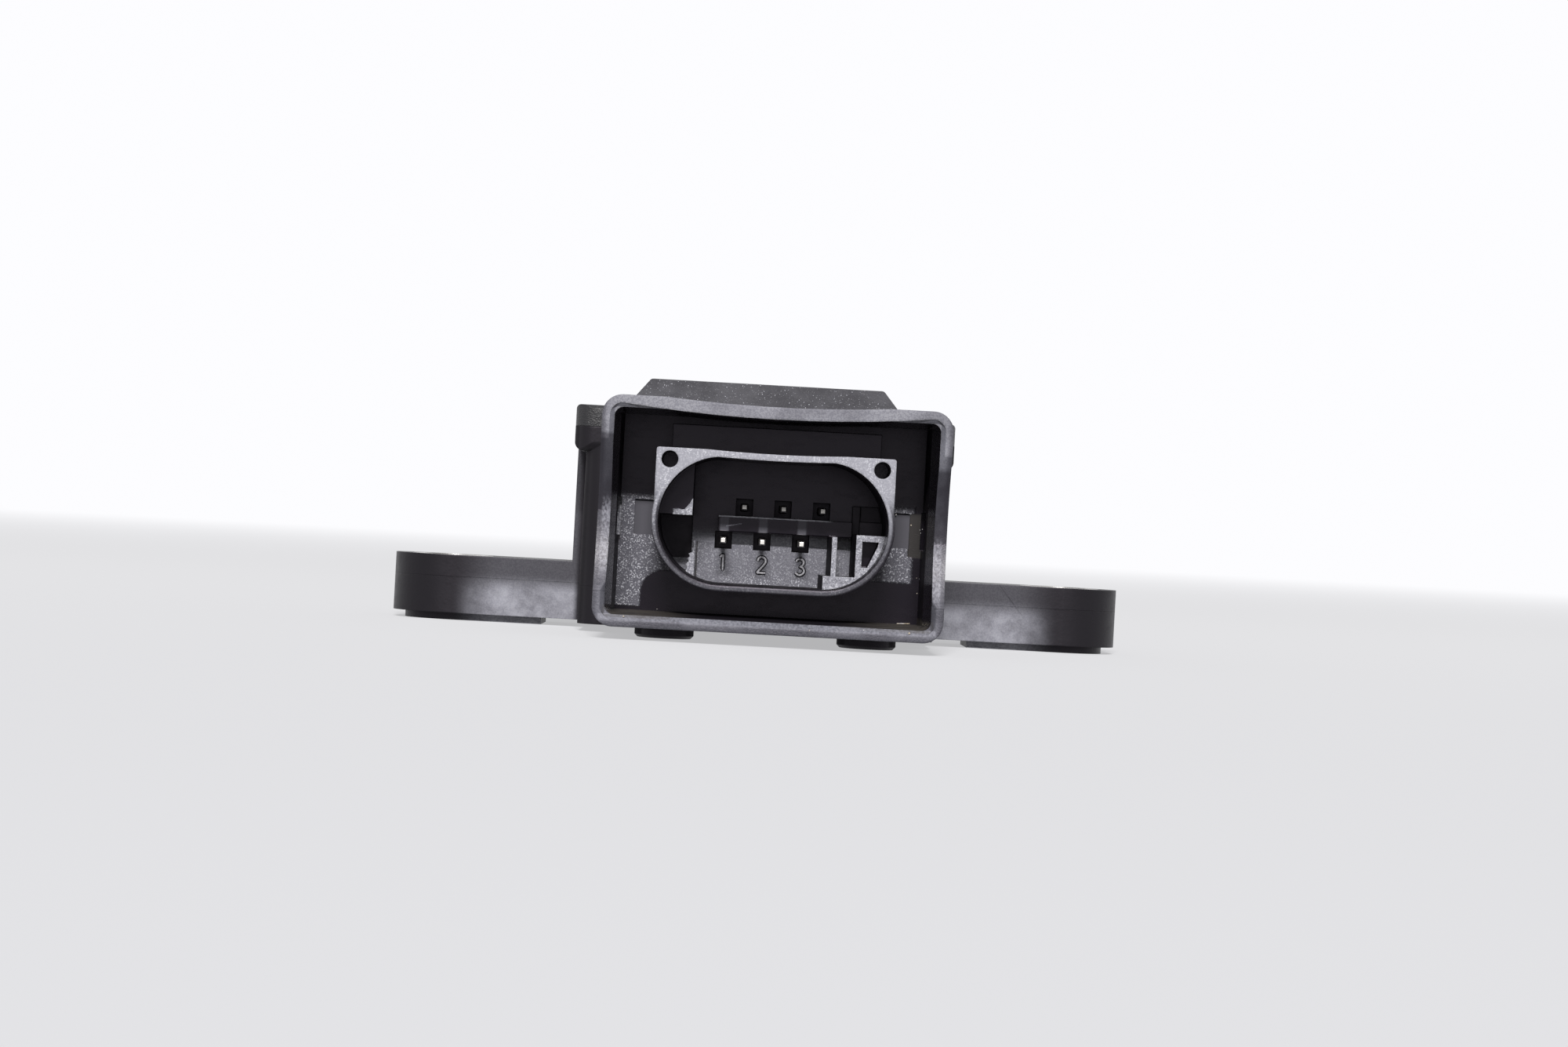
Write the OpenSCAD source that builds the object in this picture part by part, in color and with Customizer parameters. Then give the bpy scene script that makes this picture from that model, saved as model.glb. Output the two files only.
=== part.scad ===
// Acceleration sensor for a car: a black moulded housing with a sealed six-way socket
// and two bolt ears. The origin lies midway between the two bolt holes, on the
// mounting plane. X runs along the ears, the socket opens towards -Y and Z points up.

/* [Housing] */
// Width of the housing over its side walls
body_w = 36.9; // [36:0.1:42]
// Depth of the housing from its front face to its rear face
body_d = 38; // [37:0.5:46]
// Height of the rim, where the lid sits, above the mounting plane
rim_z = 21.15; // [20.7:0.05:24]
// Thickness of the side and rear walls
wall = 1.85; // [1.6:0.05:2.2]
// Thickness of the floor
floor_t = 2.05; // [1.6:0.05:2.6]
// Radius of the upright corners
corner_r = 2; // [1:0.1:3]
// Height of the flange around the rim
flange_h = 2.55; // [2:0.05:3.5]
// How far the flange stands out from the walls
flange_out = 1.25; // [1:0.05:2]
// Radius on the lower edges of the flange
flange_r = 1; // [0.4:0.1:1.4]

/* [Ears] */
// Distance between the two bolt holes
hole_pitch = 66; // [63:0.5:80]
// Radius of the rounded end of each ear
ear_r = 6.2; // [5.8:0.1:8]
// Height of the top of the ears above the mounting plane
ear_top = 6.95; // [6:0.05:9]
// Height of the mounting pads and of the gap below the housing
pad_h = 0.75; // [0.5:0.05:1.1]
// How far the pads are set back from the outline of the ears
pad_inset = 1.3; // [0.5:0.1:1.4]
// Length of each pad from its straight inner end to the hole
pad_len = 10.1; // [8:0.1:12]
// How far the upright rib above each ear stands out
gusset_out = 1.35; // [1:0.05:2]

/* [Bushes] */
// Bore of the metal bushes
bush_bore = 6.4; // [5.4:0.1:6.6]
// Wall of the metal bushes
bush_wall = 1.1; // [0.8:0.05:1.3]

/* [Shroud] */
// Width over the socket shroud
shroud_w = 34.4; // [33.6:0.1:36]
// Height over the socket shroud
shroud_h = 22.7; // [22.3:0.1:23]
// Reach of the shroud in front of the housing
shroud_len = 19; // [18:0.5:22]
// Wall of the shroud at its mouth
shroud_wall = 1.2; // [1:0.05:1.4]
// Corner radius of the shroud
shroud_r = 2; // [1.6:0.1:2.6]
// Chamfer on the inner edge of the mouth
mouth_chamfer = 0.45; // [0.2:0.05:0.6]
// How far the inside of each side wall leans in down to the back
side_draft = 0.5; // [0.1:0.05:0.6]
// How far the inside of the top and bottom walls leans in down to the back
level_draft = 0.15; // [0.05:0.05:0.3]
// How far the top wall bows inwards
bow = 0.45; // [0.1:0.05:0.6]
// Half length of the bowed stretch
bow_half = 11; // [9:0.5:13]
// Depth of the hollow in the edge of each side wall
scoop_depth = 2; // [1:0.1:3]
// Height of the hollow in the edge of each side wall
scoop_h = 14.8; // [12:0.1:16]
// How far the hollow lies below the middle of the shroud
scoop_drop = 0.4; // [0:0.1:1]
// Distance of the socket to the right of the ears' middle
conn_x = 1.04; // [0:0.02:1.2]
// Height of the middle of the collar above the mounting plane
conn_z = 12.12; // [12:0.02:13]
// How far the middle of the shroud lies above the middle of the collar
shroud_rise = 0.46; // [0.3:0.02:0.6]

/* [Collar] */
// Width inside the oval collar
oval_w = 22.95; // [22.3:0.05:23.6]
// Height inside the oval collar
oval_h = 12.75; // [12.2:0.05:13.2]
// Wall of the collar
collar_wall = 0.65; // [0.5:0.05:0.8]
// How far the middle of the collar lies to the right of the shroud's middle
collar_right = 0.1; // [0:0.02:0.3]
// Depth of the collar's front edge behind the mouth
collar_depth = 5.2; // [4.6:0.1:7]
// Depth of the back wall around the collar
ring_depth = 16.5; // [15:0.1:17]
// Depth of the floor that the pins rise from
cavity_depth = 20.5; // [19.6:0.1:22]
// How far the collar's square upper corners are set back from its sides
corner_inset = 0.2; // [0.1:0.02:0.3]
// Radius of the core holes in the collar's upper corners
core_r = 0.84; // [0.5:0.02:0.9]
// Depth of those core holes
core_depth = 6; // [3:0.5:8]

/* [Keying] */
// How far the bar between the pins stands up from the pin floor
bar_rise = 2.5; // [1.5:0.1:3.2]
// How far the steps and the thin rib stand up from the pin floor
step_rise = 9.4; // [8:0.1:11]
// Width of the bar between the two rows of pins
bar_w = 13.8; // [12:0.1:14.5]
// Height of the bar between the two rows of pins
bar_h = 1.6; // [1.2:0.1:1.6]
// Width of the thin upright rib right of the lower row
rib_w = 0.5; // [0.4:0.05:0.7]
// Distance of the thin rib to the right of the collar's middle
rib_x = 6.38; // [6.2:0.02:6.6]
// How far the left faces of the rib and the steps lean out towards the floor
key_lean = 0.26; // [0.1:0.02:0.5]
// Width of the pocket beside the thin rib
pocket_w = 1.55; // [1.2:0.05:1.7]
// Height of the step at the lower right of the pin floor
step_h = 1.4; // [1:0.05:1.6]
// Width of the ledge above the collar that the plug's latch catches
latch_w = 21; // [16:0.1:22]
// Gap between that ledge and the top wall
latch_gap = 1.1; // [0.8:0.05:1.4]
// Depth at which the ledge starts
latch_depth = 9; // [8:0.1:11]

/* [Pins] */
// Distance between neighbouring pins
pin_pitch = 4; // [3.8:0.05:4.1]
// How far the middle of the pins lies to the right of the collar's middle
pins_right = 0.1; // [0:0.02:0.3]
// How far the middle of the pins lies below the collar's middle
pins_low = 0.2; // [0:0.02:0.3]
// Side of the square pins
pin_w = 0.64; // [0.6:0.02:0.8]
// Side of the blunt tip
pin_tip = 0.44; // [0.3:0.02:0.5]
// Length of the taper behind the tip
pin_taper = 0.5; // [0.3:0.05:1]
// Depth of the tips behind the mouth
pin_depth = 14; // [12:0.1:15]
// Side of the square well around each pin
well_w = 1.8; // [1.6:0.05:1.9]
// Depth of the wells below the pin floor
well_depth = 2.2; // [1:0.1:2.6]
// Plastic left behind the wells
well_web = 0.8; // [0.6:0.05:1.2]
// Distance from the chamber's front to the legs of the lower row
leg_back = 4; // [3.6:0.1:4.4]
// Distance between the legs of the two rows
leg_gap = 2.5; // [2.2:0.1:2.6]

/* [Lid] */
// Thickness of the lid at its edge
lid_t = 2.25; // [2:0.05:2.6]
// Radius on the upper edges of the lid
lid_r = 0.5; // [0.3:0.1:1]
// Height of the raised middle above the edge
hump_h = 3.25; // [2:0.05:4]
// Distance from the sides of the lid to the flat top of the raised middle
hump_side = 7.5; // [7:0.1:9]
// Distance from the front and rear of the lid to the flat top of the raised middle
hump_end = 5.05; // [4.75:0.05:8]
// Run of the sloping sides of the raised middle for each unit of rise
hump_lean = 0.77; // [0.5:0.01:1]
// Radius on the upper edges of the raised middle
hump_r = 0.5; // [0.2:0.1:1]
// Wall of the raised middle
hump_wall = 1.6; // [1.2:0.05:2]
// Depth of the rib that centres the lid in the housing
lid_rib_h = 1.2; // [0.8:0.1:2]
// Thickness of that rib
lid_rib_t = 1; // [0.8:0.05:1.2]

/* [Seal] */
// Width of the sealing bead between the housing and the lid
seal_w = 1.2; // [0.8:0.05:1.4]
// Height of the sealing bead
seal_h = 1; // [0.6:0.05:1.4]

/* [Board] */
// Thickness of the circuit board
board_t = 1.6; // [1:0.1:2]
// Gap between the board and the chamber walls
board_gap = 1.1; // [0.6:0.05:1.3]
// Height of the posts below the board
post_h = 3; // [2.5:0.1:3.6]
// Diameter of the posts
post_d = 4.4; // [4:0.1:4.6]
// Distance of the screws from the board's edges
screw_inset = 2.6; // [2.4:0.05:2.8]
// Diameter of the screws
screw_d = 1.9; // [1.6:0.05:2]
// Length of the screws below their heads
screw_len = 4.6; // [3.6:0.1:5]
// Diameter of the screw heads
screw_head_d = 3.8; // [3.2:0.1:4]
// Height of the screw heads
screw_head_h = 1.3; // [1:0.05:1.6]

/* [Components] */
// Side of the signal processor's square package
processor_w = 5; // [4:0.1:5.4]
// Length of the accelerometer's package
accelerometer_l = 9.9; // [8:0.1:10.4]
// Width of the accelerometer's package
accelerometer_w = 5; // [4:0.1:5.4]
// Diameter of the buffer capacitors
can_d = 5; // [4:0.1:5.2]
// Height of the buffer capacitors
can_h = 5.4; // [4:0.1:7]
// Length of the small chip parts
chip_l = 2; // [1.6:0.05:2]
// Width of the small chip parts
chip_w = 1.25; // [0.8:0.05:1.25]
// Height of the small chip parts
chip_h = 0.9; // [0.5:0.05:1.2]

/* [Clearances] */
// Gap between a moulded-in metal piece and the plastic
mould_gap = 0.03; // [0.02:0.01:0.1]
// Gap between the lid and the socket in front of it
lid_gap = 0.15; // [0.1:0.05:0.3]
// Gap between the lid's rib and the chamber walls
rib_gap = 0.15; // [0.1:0.05:0.3]
// Gap between the sealing bead and the sides of its groove
seal_gap = 0.05; // [0.02:0.01:0.1]
// Gap between a screw or a leg and its hole in the board
board_play = 0.2; // [0.1:0.05:0.3]
// Gap between a screw and its post
screw_play = 0.05; // [0.02:0.01:0.1]

/* [Hidden] */
$fn = 64;

// A long overlap that carries cuts past a surface
past = 1;

// Outside of the housing
front_y = -body_d / 2;
rear_y = body_d / 2;
mouth_y = front_y - shroud_len;
flange_w = body_w + 2 * flange_out;
flange_z = rim_z - flange_h;
rim_y1 = rear_y + flange_out;

// Chamber behind the socket
chamber_w = body_w - 2 * wall;
chamber_y0 = mouth_y + cavity_depth + well_depth + well_web;
chamber_y1 = rear_y - wall;
chamber_z = pad_h + floor_t;
chamber_r = 1;

// Ears and bushes
hole_x = hole_pitch / 2;
bush_d = bush_bore + 2 * bush_wall;

// Shroud, seen from its mouth with the collar's middle at the origin
inner_w = shroud_w - 2 * shroud_wall;
inner_h = shroud_h - 2 * shroud_wall;
inner_r = 0.9;
shroud_top = shroud_rise + shroud_h / 2;
shroud_bottom = shroud_rise - shroud_h / 2;
bow_r = (bow_half * bow_half + bow * bow) / (2 * bow);
scoop_r = (scoop_h * scoop_h / 4 + scoop_depth * scoop_depth) / (2 * scoop_depth);
big_fn = 720;
scoop_fn = 180;

// Collar
oval_outer_w = oval_w + 2 * collar_wall;
oval_outer_h = oval_h + 2 * collar_wall;
collar_corner_r = 0.25;
collar_bow = bow * 2 / 5;
core_side = 0.72;
core_top = 0.32;
core_x = oval_outer_w / 2 - core_r - core_side;
core_z = oval_outer_h / 2 - core_r - core_top;
window_w = 2;
window_h = 3.6;
window_depth = 0.35;
slot_w = 0.9;
slot_h = 3.9;
slot_front = 4;
slot_depth = 1.5;
slot_out = 0.75;

// Feet below the socket
foot_d = 6;
foot_spread = 20.5;
foot_back = 12.5;
foot_y = mouth_y + foot_back;
foot_edge = 0.3;

// Keying on the pin floor
plateau_gap = 0.38;
plateau_x = rib_x + rib_w / 2 + pocket_w + plateau_gap;
plateau_top = -0.68;
step_out = 1.02;
step_x = rib_x - step_out;
step_top = -oval_h / 2 + step_h;
bar_x = 1.4;
left_step_x = -8.13;
left_step_z = 0.42;
left_pocket_h = 4.4;
left_pocket_depth = 1.2;
relief_x = 8.3;
relief_rib_w = 0.8;
relief_top = 2.27;
relief_rise = 1.2;
panel_z = 0.66;
panel_rise = 0.6;

// The blind pocket in the right-hand step
d_pocket_depth = 3;
d_pocket_h = 2.6;
d_pocket_left = 0.62;
d_pocket_right = 0.65;
d_pocket_top = 0.64;
d_pocket_foot = 0.6;
d_pocket_nose = [0.06, 0.4];

// Pins
collar_x = conn_x + collar_right;
pins_x = collar_x + pins_right;
pins_z = conn_z - pins_low;
row_z = pin_pitch * sqrt(3) / 4;
row_shift = pin_pitch / 4;
leg_y0 = chamber_y0 + leg_back;
leg_y1 = leg_y0 + leg_gap;
leg_stub = 1;

// Lid
lid_y0 = front_y + lid_gap;
lid_y1 = rim_y1;
hump_w = flange_w - 2 * hump_side;
hump_d = lid_y1 - lid_y0 - 2 * hump_end;
hump_y = (lid_y0 + lid_y1) / 2;
hump_top = rim_z + lid_t + hump_h;
hump_inset = hump_wall * (sqrt(1 + hump_lean * hump_lean) - hump_lean);
hollow_h = lid_t + hump_h - hump_wall;

// Sealing bead, which runs along the middle of the rim
rim_t = wall + flange_out;
bead_w = chamber_w + rim_t;
bead_y0 = chamber_y0 - rim_t / 2;
bead_y1 = chamber_y1 + rim_t / 2;
bead_r = chamber_r + rim_t / 2;

// Circuit board
board_w = chamber_w - 2 * board_gap;
board_y0 = chamber_y0 + board_gap;
board_y1 = chamber_y1 - board_gap;
board_d = board_y1 - board_y0;
board_z = chamber_z + post_h;
board_top = board_z + board_t;
board_r = 1;
leg_hole_d = pin_w * sqrt(2) + board_play;
pilot_spare = 0.3;
pilot_len = screw_len - board_t + pilot_spare;

// Places of the components, as shares of the board's width and depth
transceiver_at = [0.17, 0.287];
processor_at = [0.15, 0.53];
regulator_at = [0.25, 0.766];
capacitors_at = [0.535, 0.295];
resistors_at = [0.535, 0.37];
accelerometer_at = [0.52, 0.54];
cans_at = [0.545, 0.79];
choke_at = [0.875, 0.253];
diode_at = [0.875, 0.437];
crystal_at = [0.875, 0.659];

// Sizes of the standard packages
lead_t = 0.2;
lead_reach = 1.05;
lead_pitch = 1.27;
accelerometer_h = 2.4;
processor_h = 1.5;
transceiver_l = 4.9;
transceiver_w = 3.9;
transceiver_h = 1.6;
regulator_l = 4.5;
regulator_w = 2.5;
regulator_h = 1.5;
regulator_tab = 1.8;
diode_l = 4.4;
diode_w = 3.6;
diode_h = 2.3;
diode_tab = 2;
crystal_l = 5;
crystal_w = 3.2;
crystal_h = 1.3;
crystal_edge = 0.2;
choke_l = 4.5;
choke_w = 3.2;
choke_h = 2.6;
choke_plate = 0.7;
can_foot = can_d + 0.3;
can_foot_h = 0.9;
can_step = 6;
capacitor_step = 2.2;
capacitor_count = 6;
resistor_step = 3;
resistor_count = 4;

// Outlines

module rounded_rect(w, h, r) {
    square([w - 2 * r, h], center = true);
    square([w, h - 2 * r], center = true);
    for (sx = [-1, 1])
        for (sy = [-1, 1])
            translate([sx * (w / 2 - r), sy * (h / 2 - r)])
                circle(r);
}

module stadium(w, h) {
    square([w - h, h], center = true);
    for (side = [-1, 1])
        translate([side * (w - h) / 2, 0])
            circle(h / 2);
}

// A rectangle that stands on the X axis, with its upper corners rounded
module round_topped(w, h, r) {
    translate([-w / 2, 0])
        square([w, h - r]);
    translate([-w / 2 + r, 0])
        square([w - 2 * r, h]);
    for (side = [-1, 1])
        translate([side * (w / 2 - r), h - r])
            circle(r);
}

// A trapezium that stands on the X axis, w wide at its top, with its upper corners rounded
module ramped(w, h, r) {
    turn = atan(1 / hump_lean);
    cut = r * tan(turn / 2);
    side = w / 2 + cut * cos(turn);
    polygon([
        [-w / 2 - hump_lean * h, 0],
        [w / 2 + hump_lean * h, 0],
        [side, h - cut * sin(turn)],
        [w / 2 - cut, h],
        [-w / 2 + cut, h],
        [-side, h - cut * sin(turn)],
    ]);
    for (end = [-1, 1])
        translate([end * (w / 2 - cut), h - r])
            circle(r);
}

// Extrusions of an outline along each level axis

module along_x(x0, x1) {
    translate([x0, 0, 0])
        rotate([90, 0, 90])
            linear_extrude(x1 - x0)
                children();
}

module along_y(y0, y1) {
    translate([0, y1, 0])
        rotate([90, 0, 0])
            linear_extrude(y1 - y0)
                children();
}

// A box between two depths, with its sides upright and plan corners rounded
module block(w, y0, y1, z0, z1, r) {
    translate([0, (y0 + y1) / 2, z0])
        linear_extrude(z1 - z0)
            rounded_rect(w, y1 - y0, r);
}

// Housing: the outside

module flange() {
    depth = rim_y1 - front_y;
    middle = (front_y + rim_y1) / 2;
    intersection() {
        block(flange_w, front_y, rim_y1, flange_z, rim_z, corner_r);
        translate([0, 0, rim_z])
            mirror([0, 0, 1])
                along_y(front_y, rim_y1)
                    round_topped(flange_w, flange_h, flange_r);
        translate([0, middle, rim_z])
            mirror([0, 0, 1])
                along_x(-flange_w / 2, flange_w / 2)
                    round_topped(depth, flange_h, flange_r);
    }
}

module ear() {
    translate([0, 0, pad_h])
        linear_extrude(ear_top - pad_h) {
            translate([body_w / 2 - wall / 2, -ear_r])
                square([hole_x - body_w / 2 + wall / 2, 2 * ear_r]);
            translate([hole_x, 0])
                circle(ear_r);
        }
    linear_extrude(pad_h + past / 2) {
        translate([hole_x - pad_len, -ear_r + pad_inset])
            square([pad_len, 2 * (ear_r - pad_inset)]);
        translate([hole_x, 0])
            circle(ear_r - pad_inset);
    }
    translate([body_w / 2 - wall / 2, -ear_r, ear_top - past])
        cube([wall / 2 + gusset_out, 2 * ear_r, flange_z - ear_top + 2 * past]);
}

module foot() {
    translate([0, 0, foot_edge])
        cylinder(d = foot_d, h = conn_z + shroud_bottom + shroud_wall / 2 - foot_edge);
    cylinder(d1 = foot_d - 2 * foot_edge, d2 = foot_d, h = foot_edge);
}

module housing_outside() {
    block(body_w, front_y, rear_y, pad_h, rim_z, corner_r);
    flange();
    ear();
    mirror([1, 0, 0])
        ear();
    difference() {
        at_mouth()
            shroud_outside();
        translate([-body_w, front_y, rim_z])
            cube([2 * body_w, body_d, shroud_h]);
    }
    for (side = [-1, 1])
        translate([conn_x + side * foot_spread / 2, foot_y, 0])
            foot();
}

// Housing: the socket, with Y running from the mouth inwards

module at_mouth() {
    translate([conn_x, mouth_y, conn_z])
        children();
}

// The round bar that bows a wall, whose outer face lies at height top
module bow_circle(top, extra) {
    translate([0, top + bow_r - bow])
        circle(bow_r + extra, $fn = big_fn);
}

// The block of the shroud, which runs on into the rounded corners of the housing
module shroud_outside() {
    along_y(0, shroud_len + corner_r)
        difference() {
            translate([0, shroud_rise])
                rounded_rect(shroud_w, shroud_h, shroud_r);
            bow_circle(shroud_top, 0);
        }
}

// The hollow of the shroud, which narrows a little towards the back
module shroud_hollow() {
    intersection() {
        along_y(-past, ring_depth)
            difference() {
                translate([0, shroud_rise])
                    rounded_rect(inner_w, inner_h, inner_r);
                bow_circle(shroud_top, shroud_wall);
            }
        translate([0, 0, shroud_rise - inner_h])
            linear_extrude(2 * inner_h)
                drafted(inner_w, side_draft);
        translate([-inner_w, 0, shroud_rise])
            rotate([0, 90, 0])
                linear_extrude(2 * inner_w)
                    drafted(inner_h, level_draft);
    }
}

// The chamfer around the mouth, which fades out where the top wall bows in
module mouth_chamfer_cut() {
    w = inner_w + 2 * mouth_chamfer;
    h = inner_h + 2 * mouth_chamfer;
    intersection() {
        along_y(-past, mouth_chamfer)
            difference() {
                translate([0, shroud_rise])
                    rounded_rect(w, h, inner_r + mouth_chamfer);
                bow_circle(shroud_top, shroud_wall);
            }
        translate([0, 0, shroud_rise - inner_h])
            linear_extrude(2 * inner_h)
                funnel(w);
        translate([-inner_w, 0, shroud_rise])
            rotate([0, 90, 0])
                linear_extrude(2 * inner_w)
                    funnel(h);
    }
}

// A strip w wide in front of the mouth, which narrows at 45 degrees behind it
module funnel(w) {
    polygon([
        [-w / 2, -past],
        [w / 2, -past],
        [w / 2, 0],
        [w / 2 - mouth_chamfer, mouth_chamfer],
        [-w / 2 + mouth_chamfer, mouth_chamfer],
        [-w / 2, 0],
    ]);
}

module drafted(w, draft) {
    polygon([
        [-w / 2, -past],
        [w / 2, -past],
        [w / 2, 0],
        [w / 2 - draft, ring_depth],
        [-w / 2 + draft, ring_depth],
        [-w / 2, 0],
    ]);
}

// The ledge stands on the collar and leaves a slot below the top wall
module latch_ledge() {
    top = shroud_rise + inner_h / 2 - latch_gap;
    translate([-latch_w / 2, latch_depth, 0])
        cube([latch_w, ring_depth - latch_depth + past, top]);
}

module collar_outline() {
    difference() {
        union() {
            stadium(oval_outer_w, oval_outer_h);
            translate([0, oval_outer_h / 4])
                rounded_rect(oval_outer_w - 2 * corner_inset, oval_outer_h / 2, collar_corner_r);
        }
        bow_circle(oval_outer_h / 2 + bow - collar_bow, 0);
    }
}

module collar() {
    along_y(collar_depth, ring_depth + past)
        collar_outline();
}

module oval_hollow() {
    along_y(collar_depth - past, cavity_depth)
        difference() {
            stadium(oval_w, oval_h);
            bow_circle(oval_h / 2 + bow - collar_bow, 0);
        }
}

// Ribs and steps that stand on the pin floor and let only one plug in
module keys() {
    top = cavity_depth - step_rise;
    along_y(cavity_depth - bar_rise, cavity_depth + past)
        translate([bar_x - bar_w / 2, -pins_low - bar_h / 2])
            square([bar_w, bar_h]);
    along_y(top, cavity_depth + past)
        translate([left_step_x - oval_w, left_step_z])
            square([oval_w, oval_h]);
    low_relief();
    key(rib_x - rib_w / 2, rib_w, step_top - past, -pins_low - bar_h / 2);
    key(step_x, oval_w, -oval_h, step_top);
    difference() {
        key(plateau_x, oval_w, -oval_h, plateau_top);
        d_pocket(top);
    }
}

// A low rib above the right-hand step, and a lower panel beside it
module low_relief() {
    along_y(cavity_depth - relief_rise, cavity_depth + past)
        translate([relief_x, plateau_top - past / 2])
            square([relief_rib_w, relief_top - plateau_top + past / 2]);
    along_y(cavity_depth - panel_rise, cavity_depth + past)
        translate([relief_x + relief_rib_w / 2, panel_z])
            square([oval_w / 2, relief_top - panel_z]);
}

// A rib or step from x rightwards, w wide at its top, whose left face leans
module key(x, w, z0, z1) {
    translate([x, 0, z0])
        linear_extrude(z1 - z0)
            polygon([
                [0, cavity_depth - step_rise],
                [w, cavity_depth - step_rise],
                [w, cavity_depth + past],
                [-key_lean, cavity_depth + past],
                [-key_lean, cavity_depth],
            ]);
}

// The blind pocket in the right-hand step, straight on three sides and slanted on one
module d_pocket(top) {
    inner = plateau_x + d_pocket_left;
    outer = oval_w / 2 - d_pocket_right;
    high = plateau_top - d_pocket_top;
    low = high - d_pocket_h;
    along_y(top - past, top + d_pocket_depth)
        polygon([
            [inner, high],
            [outer, high],
            [outer - d_pocket_nose[0], high - d_pocket_nose[1]],
            [inner + d_pocket_foot, low],
            [inner, low],
        ]);
}

module floor_cuts() {
    for (n = [1 : 6])
        translate([pin_x(n) - collar_x, 0, pin_z(n) - conn_z])
            along_y(cavity_depth - bar_rise / 2, cavity_depth + well_depth)
                square(well_w, center = true);
    along_y(cavity_depth - past, cavity_depth + left_pocket_depth)
        intersection() {
            stadium(oval_w, oval_h);
            translate([left_step_x - oval_w, left_step_z - left_pocket_h])
                square([oval_w, left_pocket_h]);
        }
}

// Smooth windows beside the collar and the slots beside the side walls
module ring_cuts() {
    for (side = [-1, 1]) {
        translate([collar_right + side * (oval_outer_w / 2 + window_w / 2), 0, 0])
            along_y(ring_depth - past, ring_depth + window_depth)
                square([window_w, window_h], center = true);
        translate([side * (inner_w / 2 - side_draft + slot_out - slot_w / 2), 0, 0])
            along_y(ring_depth - slot_front, ring_depth + slot_depth)
                square([slot_w, slot_h], center = true);
    }
}

module core_holes() {
    for (side = [-1, 1])
        translate([side * core_x, collar_depth - past, core_z])
            rotate([-90, 0, 0])
                cylinder(r = core_r, h = core_depth + past);
}

module scoop() {
    translate([-shroud_w, scoop_depth - scoop_r, shroud_rise - scoop_drop])
        rotate([0, 90, 0])
            cylinder(r = scoop_r, h = 2 * shroud_w, $fn = scoop_fn);
}

module socket_hollow() {
    difference() {
        shroud_hollow();
        translate([collar_right, 0, 0]) {
            collar();
            latch_ledge();
        }
    }
    translate([collar_right, 0, 0]) {
        difference() {
            oval_hollow();
            keys();
        }
        floor_cuts();
        core_holes();
    }
    mouth_chamfer_cut();
    ring_cuts();
    scoop();
}

// Housing: the chamber

function post_places() = [
    for (sx = [-1, 1])
        for (y = [board_y0 + screw_inset, board_y1 - screw_inset])
            [sx * (board_w / 2 - screw_inset), y]
];

module bead_path(w) {
    difference() {
        rounded_rect(bead_w + w, bead_y1 - bead_y0 + w, bead_r + w / 2);
        rounded_rect(bead_w - w, bead_y1 - bead_y0 - w, bead_r - w / 2);
    }
}

module bead(w, h) {
    translate([0, (bead_y0 + bead_y1) / 2, rim_z - h])
        linear_extrude(h)
            bead_path(w);
}

module pin_slots() {
    for (n = [1 : 6])
        translate([pin_x(n), 0, pin_z(n)])
            along_y(mouth_y + cavity_depth, chamber_y0 + past)
                square(pin_w + 2 * mould_gap, center = true);
}

module housing() {
    color("#2c2a2f") {
        difference() {
            housing_outside();
            block(chamber_w, chamber_y0, chamber_y1, chamber_z, rim_z + past, chamber_r);
            bead(seal_w + 2 * seal_gap, seal_h);
            at_mouth()
                socket_hollow();
            pin_slots();
            for (side = [-1, 1])
                translate([side * hole_x, 0, -past])
                    cylinder(d = bush_d + 2 * mould_gap, h = ear_top + 2 * past);
        }
        for (place = post_places())
            translate([place[0], place[1], chamber_z - floor_t / 2])
                post();
    }
}

module post() {
    tall = post_h + floor_t / 2;
    difference() {
        cylinder(d = post_d, h = tall);
        translate([0, 0, tall - pilot_len])
            cylinder(d = screw_d + 2 * screw_play, h = pilot_len + past);
    }
}

// Lid

module lid_plate() {
    depth = lid_y1 - lid_y0;
    intersection() {
        block(flange_w, lid_y0, lid_y1, rim_z, rim_z + lid_t, corner_r);
        translate([0, 0, rim_z])
            along_y(lid_y0, lid_y1)
                round_topped(flange_w, lid_t, lid_r);
        translate([0, (lid_y0 + lid_y1) / 2, rim_z])
            along_x(-flange_w / 2, flange_w / 2)
                round_topped(depth, lid_t, lid_r);
    }
}

// A block with four sides that lean in up to a flat top of w by d
module hump(w, d, z0, h, r) {
    translate([0, hump_y, z0])
        intersection() {
            along_y(-d / 2 - h, d / 2 + h)
                ramped(w, h, r);
            along_x(-w / 2 - h, w / 2 + h)
                ramped(d, h, r);
        }
}

// The block that fits the chamber with a gap all round
module chamber_block(gap, z0, z1, r) {
    block(chamber_w - 2 * gap, chamber_y0 + gap, chamber_y1 - gap, z0, z1, r);
}

module lid() {
    inside = rib_gap + lid_rib_t;
    rib_z = rim_z - lid_rib_h;
    color("#343238")
        difference() {
            union() {
                lid_plate();
                hump(hump_w, hump_d, rim_z + lid_t / 2, lid_t / 2 + hump_h, hump_r);
                chamber_block(rib_gap, rib_z, rim_z + lid_t / 2, chamber_r);
            }
            chamber_block(inside, rib_z - past, rim_z, chamber_r / 2);
            intersection() {
                chamber_block(inside, rib_z, hump_top, chamber_r / 2);
                hump(hump_w - 2 * hump_inset, hump_d - 2 * hump_inset, rim_z - past / 2,
                    hollow_h + past / 2, hump_r / 2);
            }
        }
}

module lid_seal() {
    color("#4a4a4a")
        bead(seal_w, seal_h);
}

// Bushes and pins

module bush(side) {
    color("silver")
        translate([side * hole_x, 0, 0])
            difference() {
                cylinder(d = bush_d, h = ear_top);
                translate([0, 0, -past])
                    cylinder(d = bush_bore, h = ear_top + 2 * past);
            }
}

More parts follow.
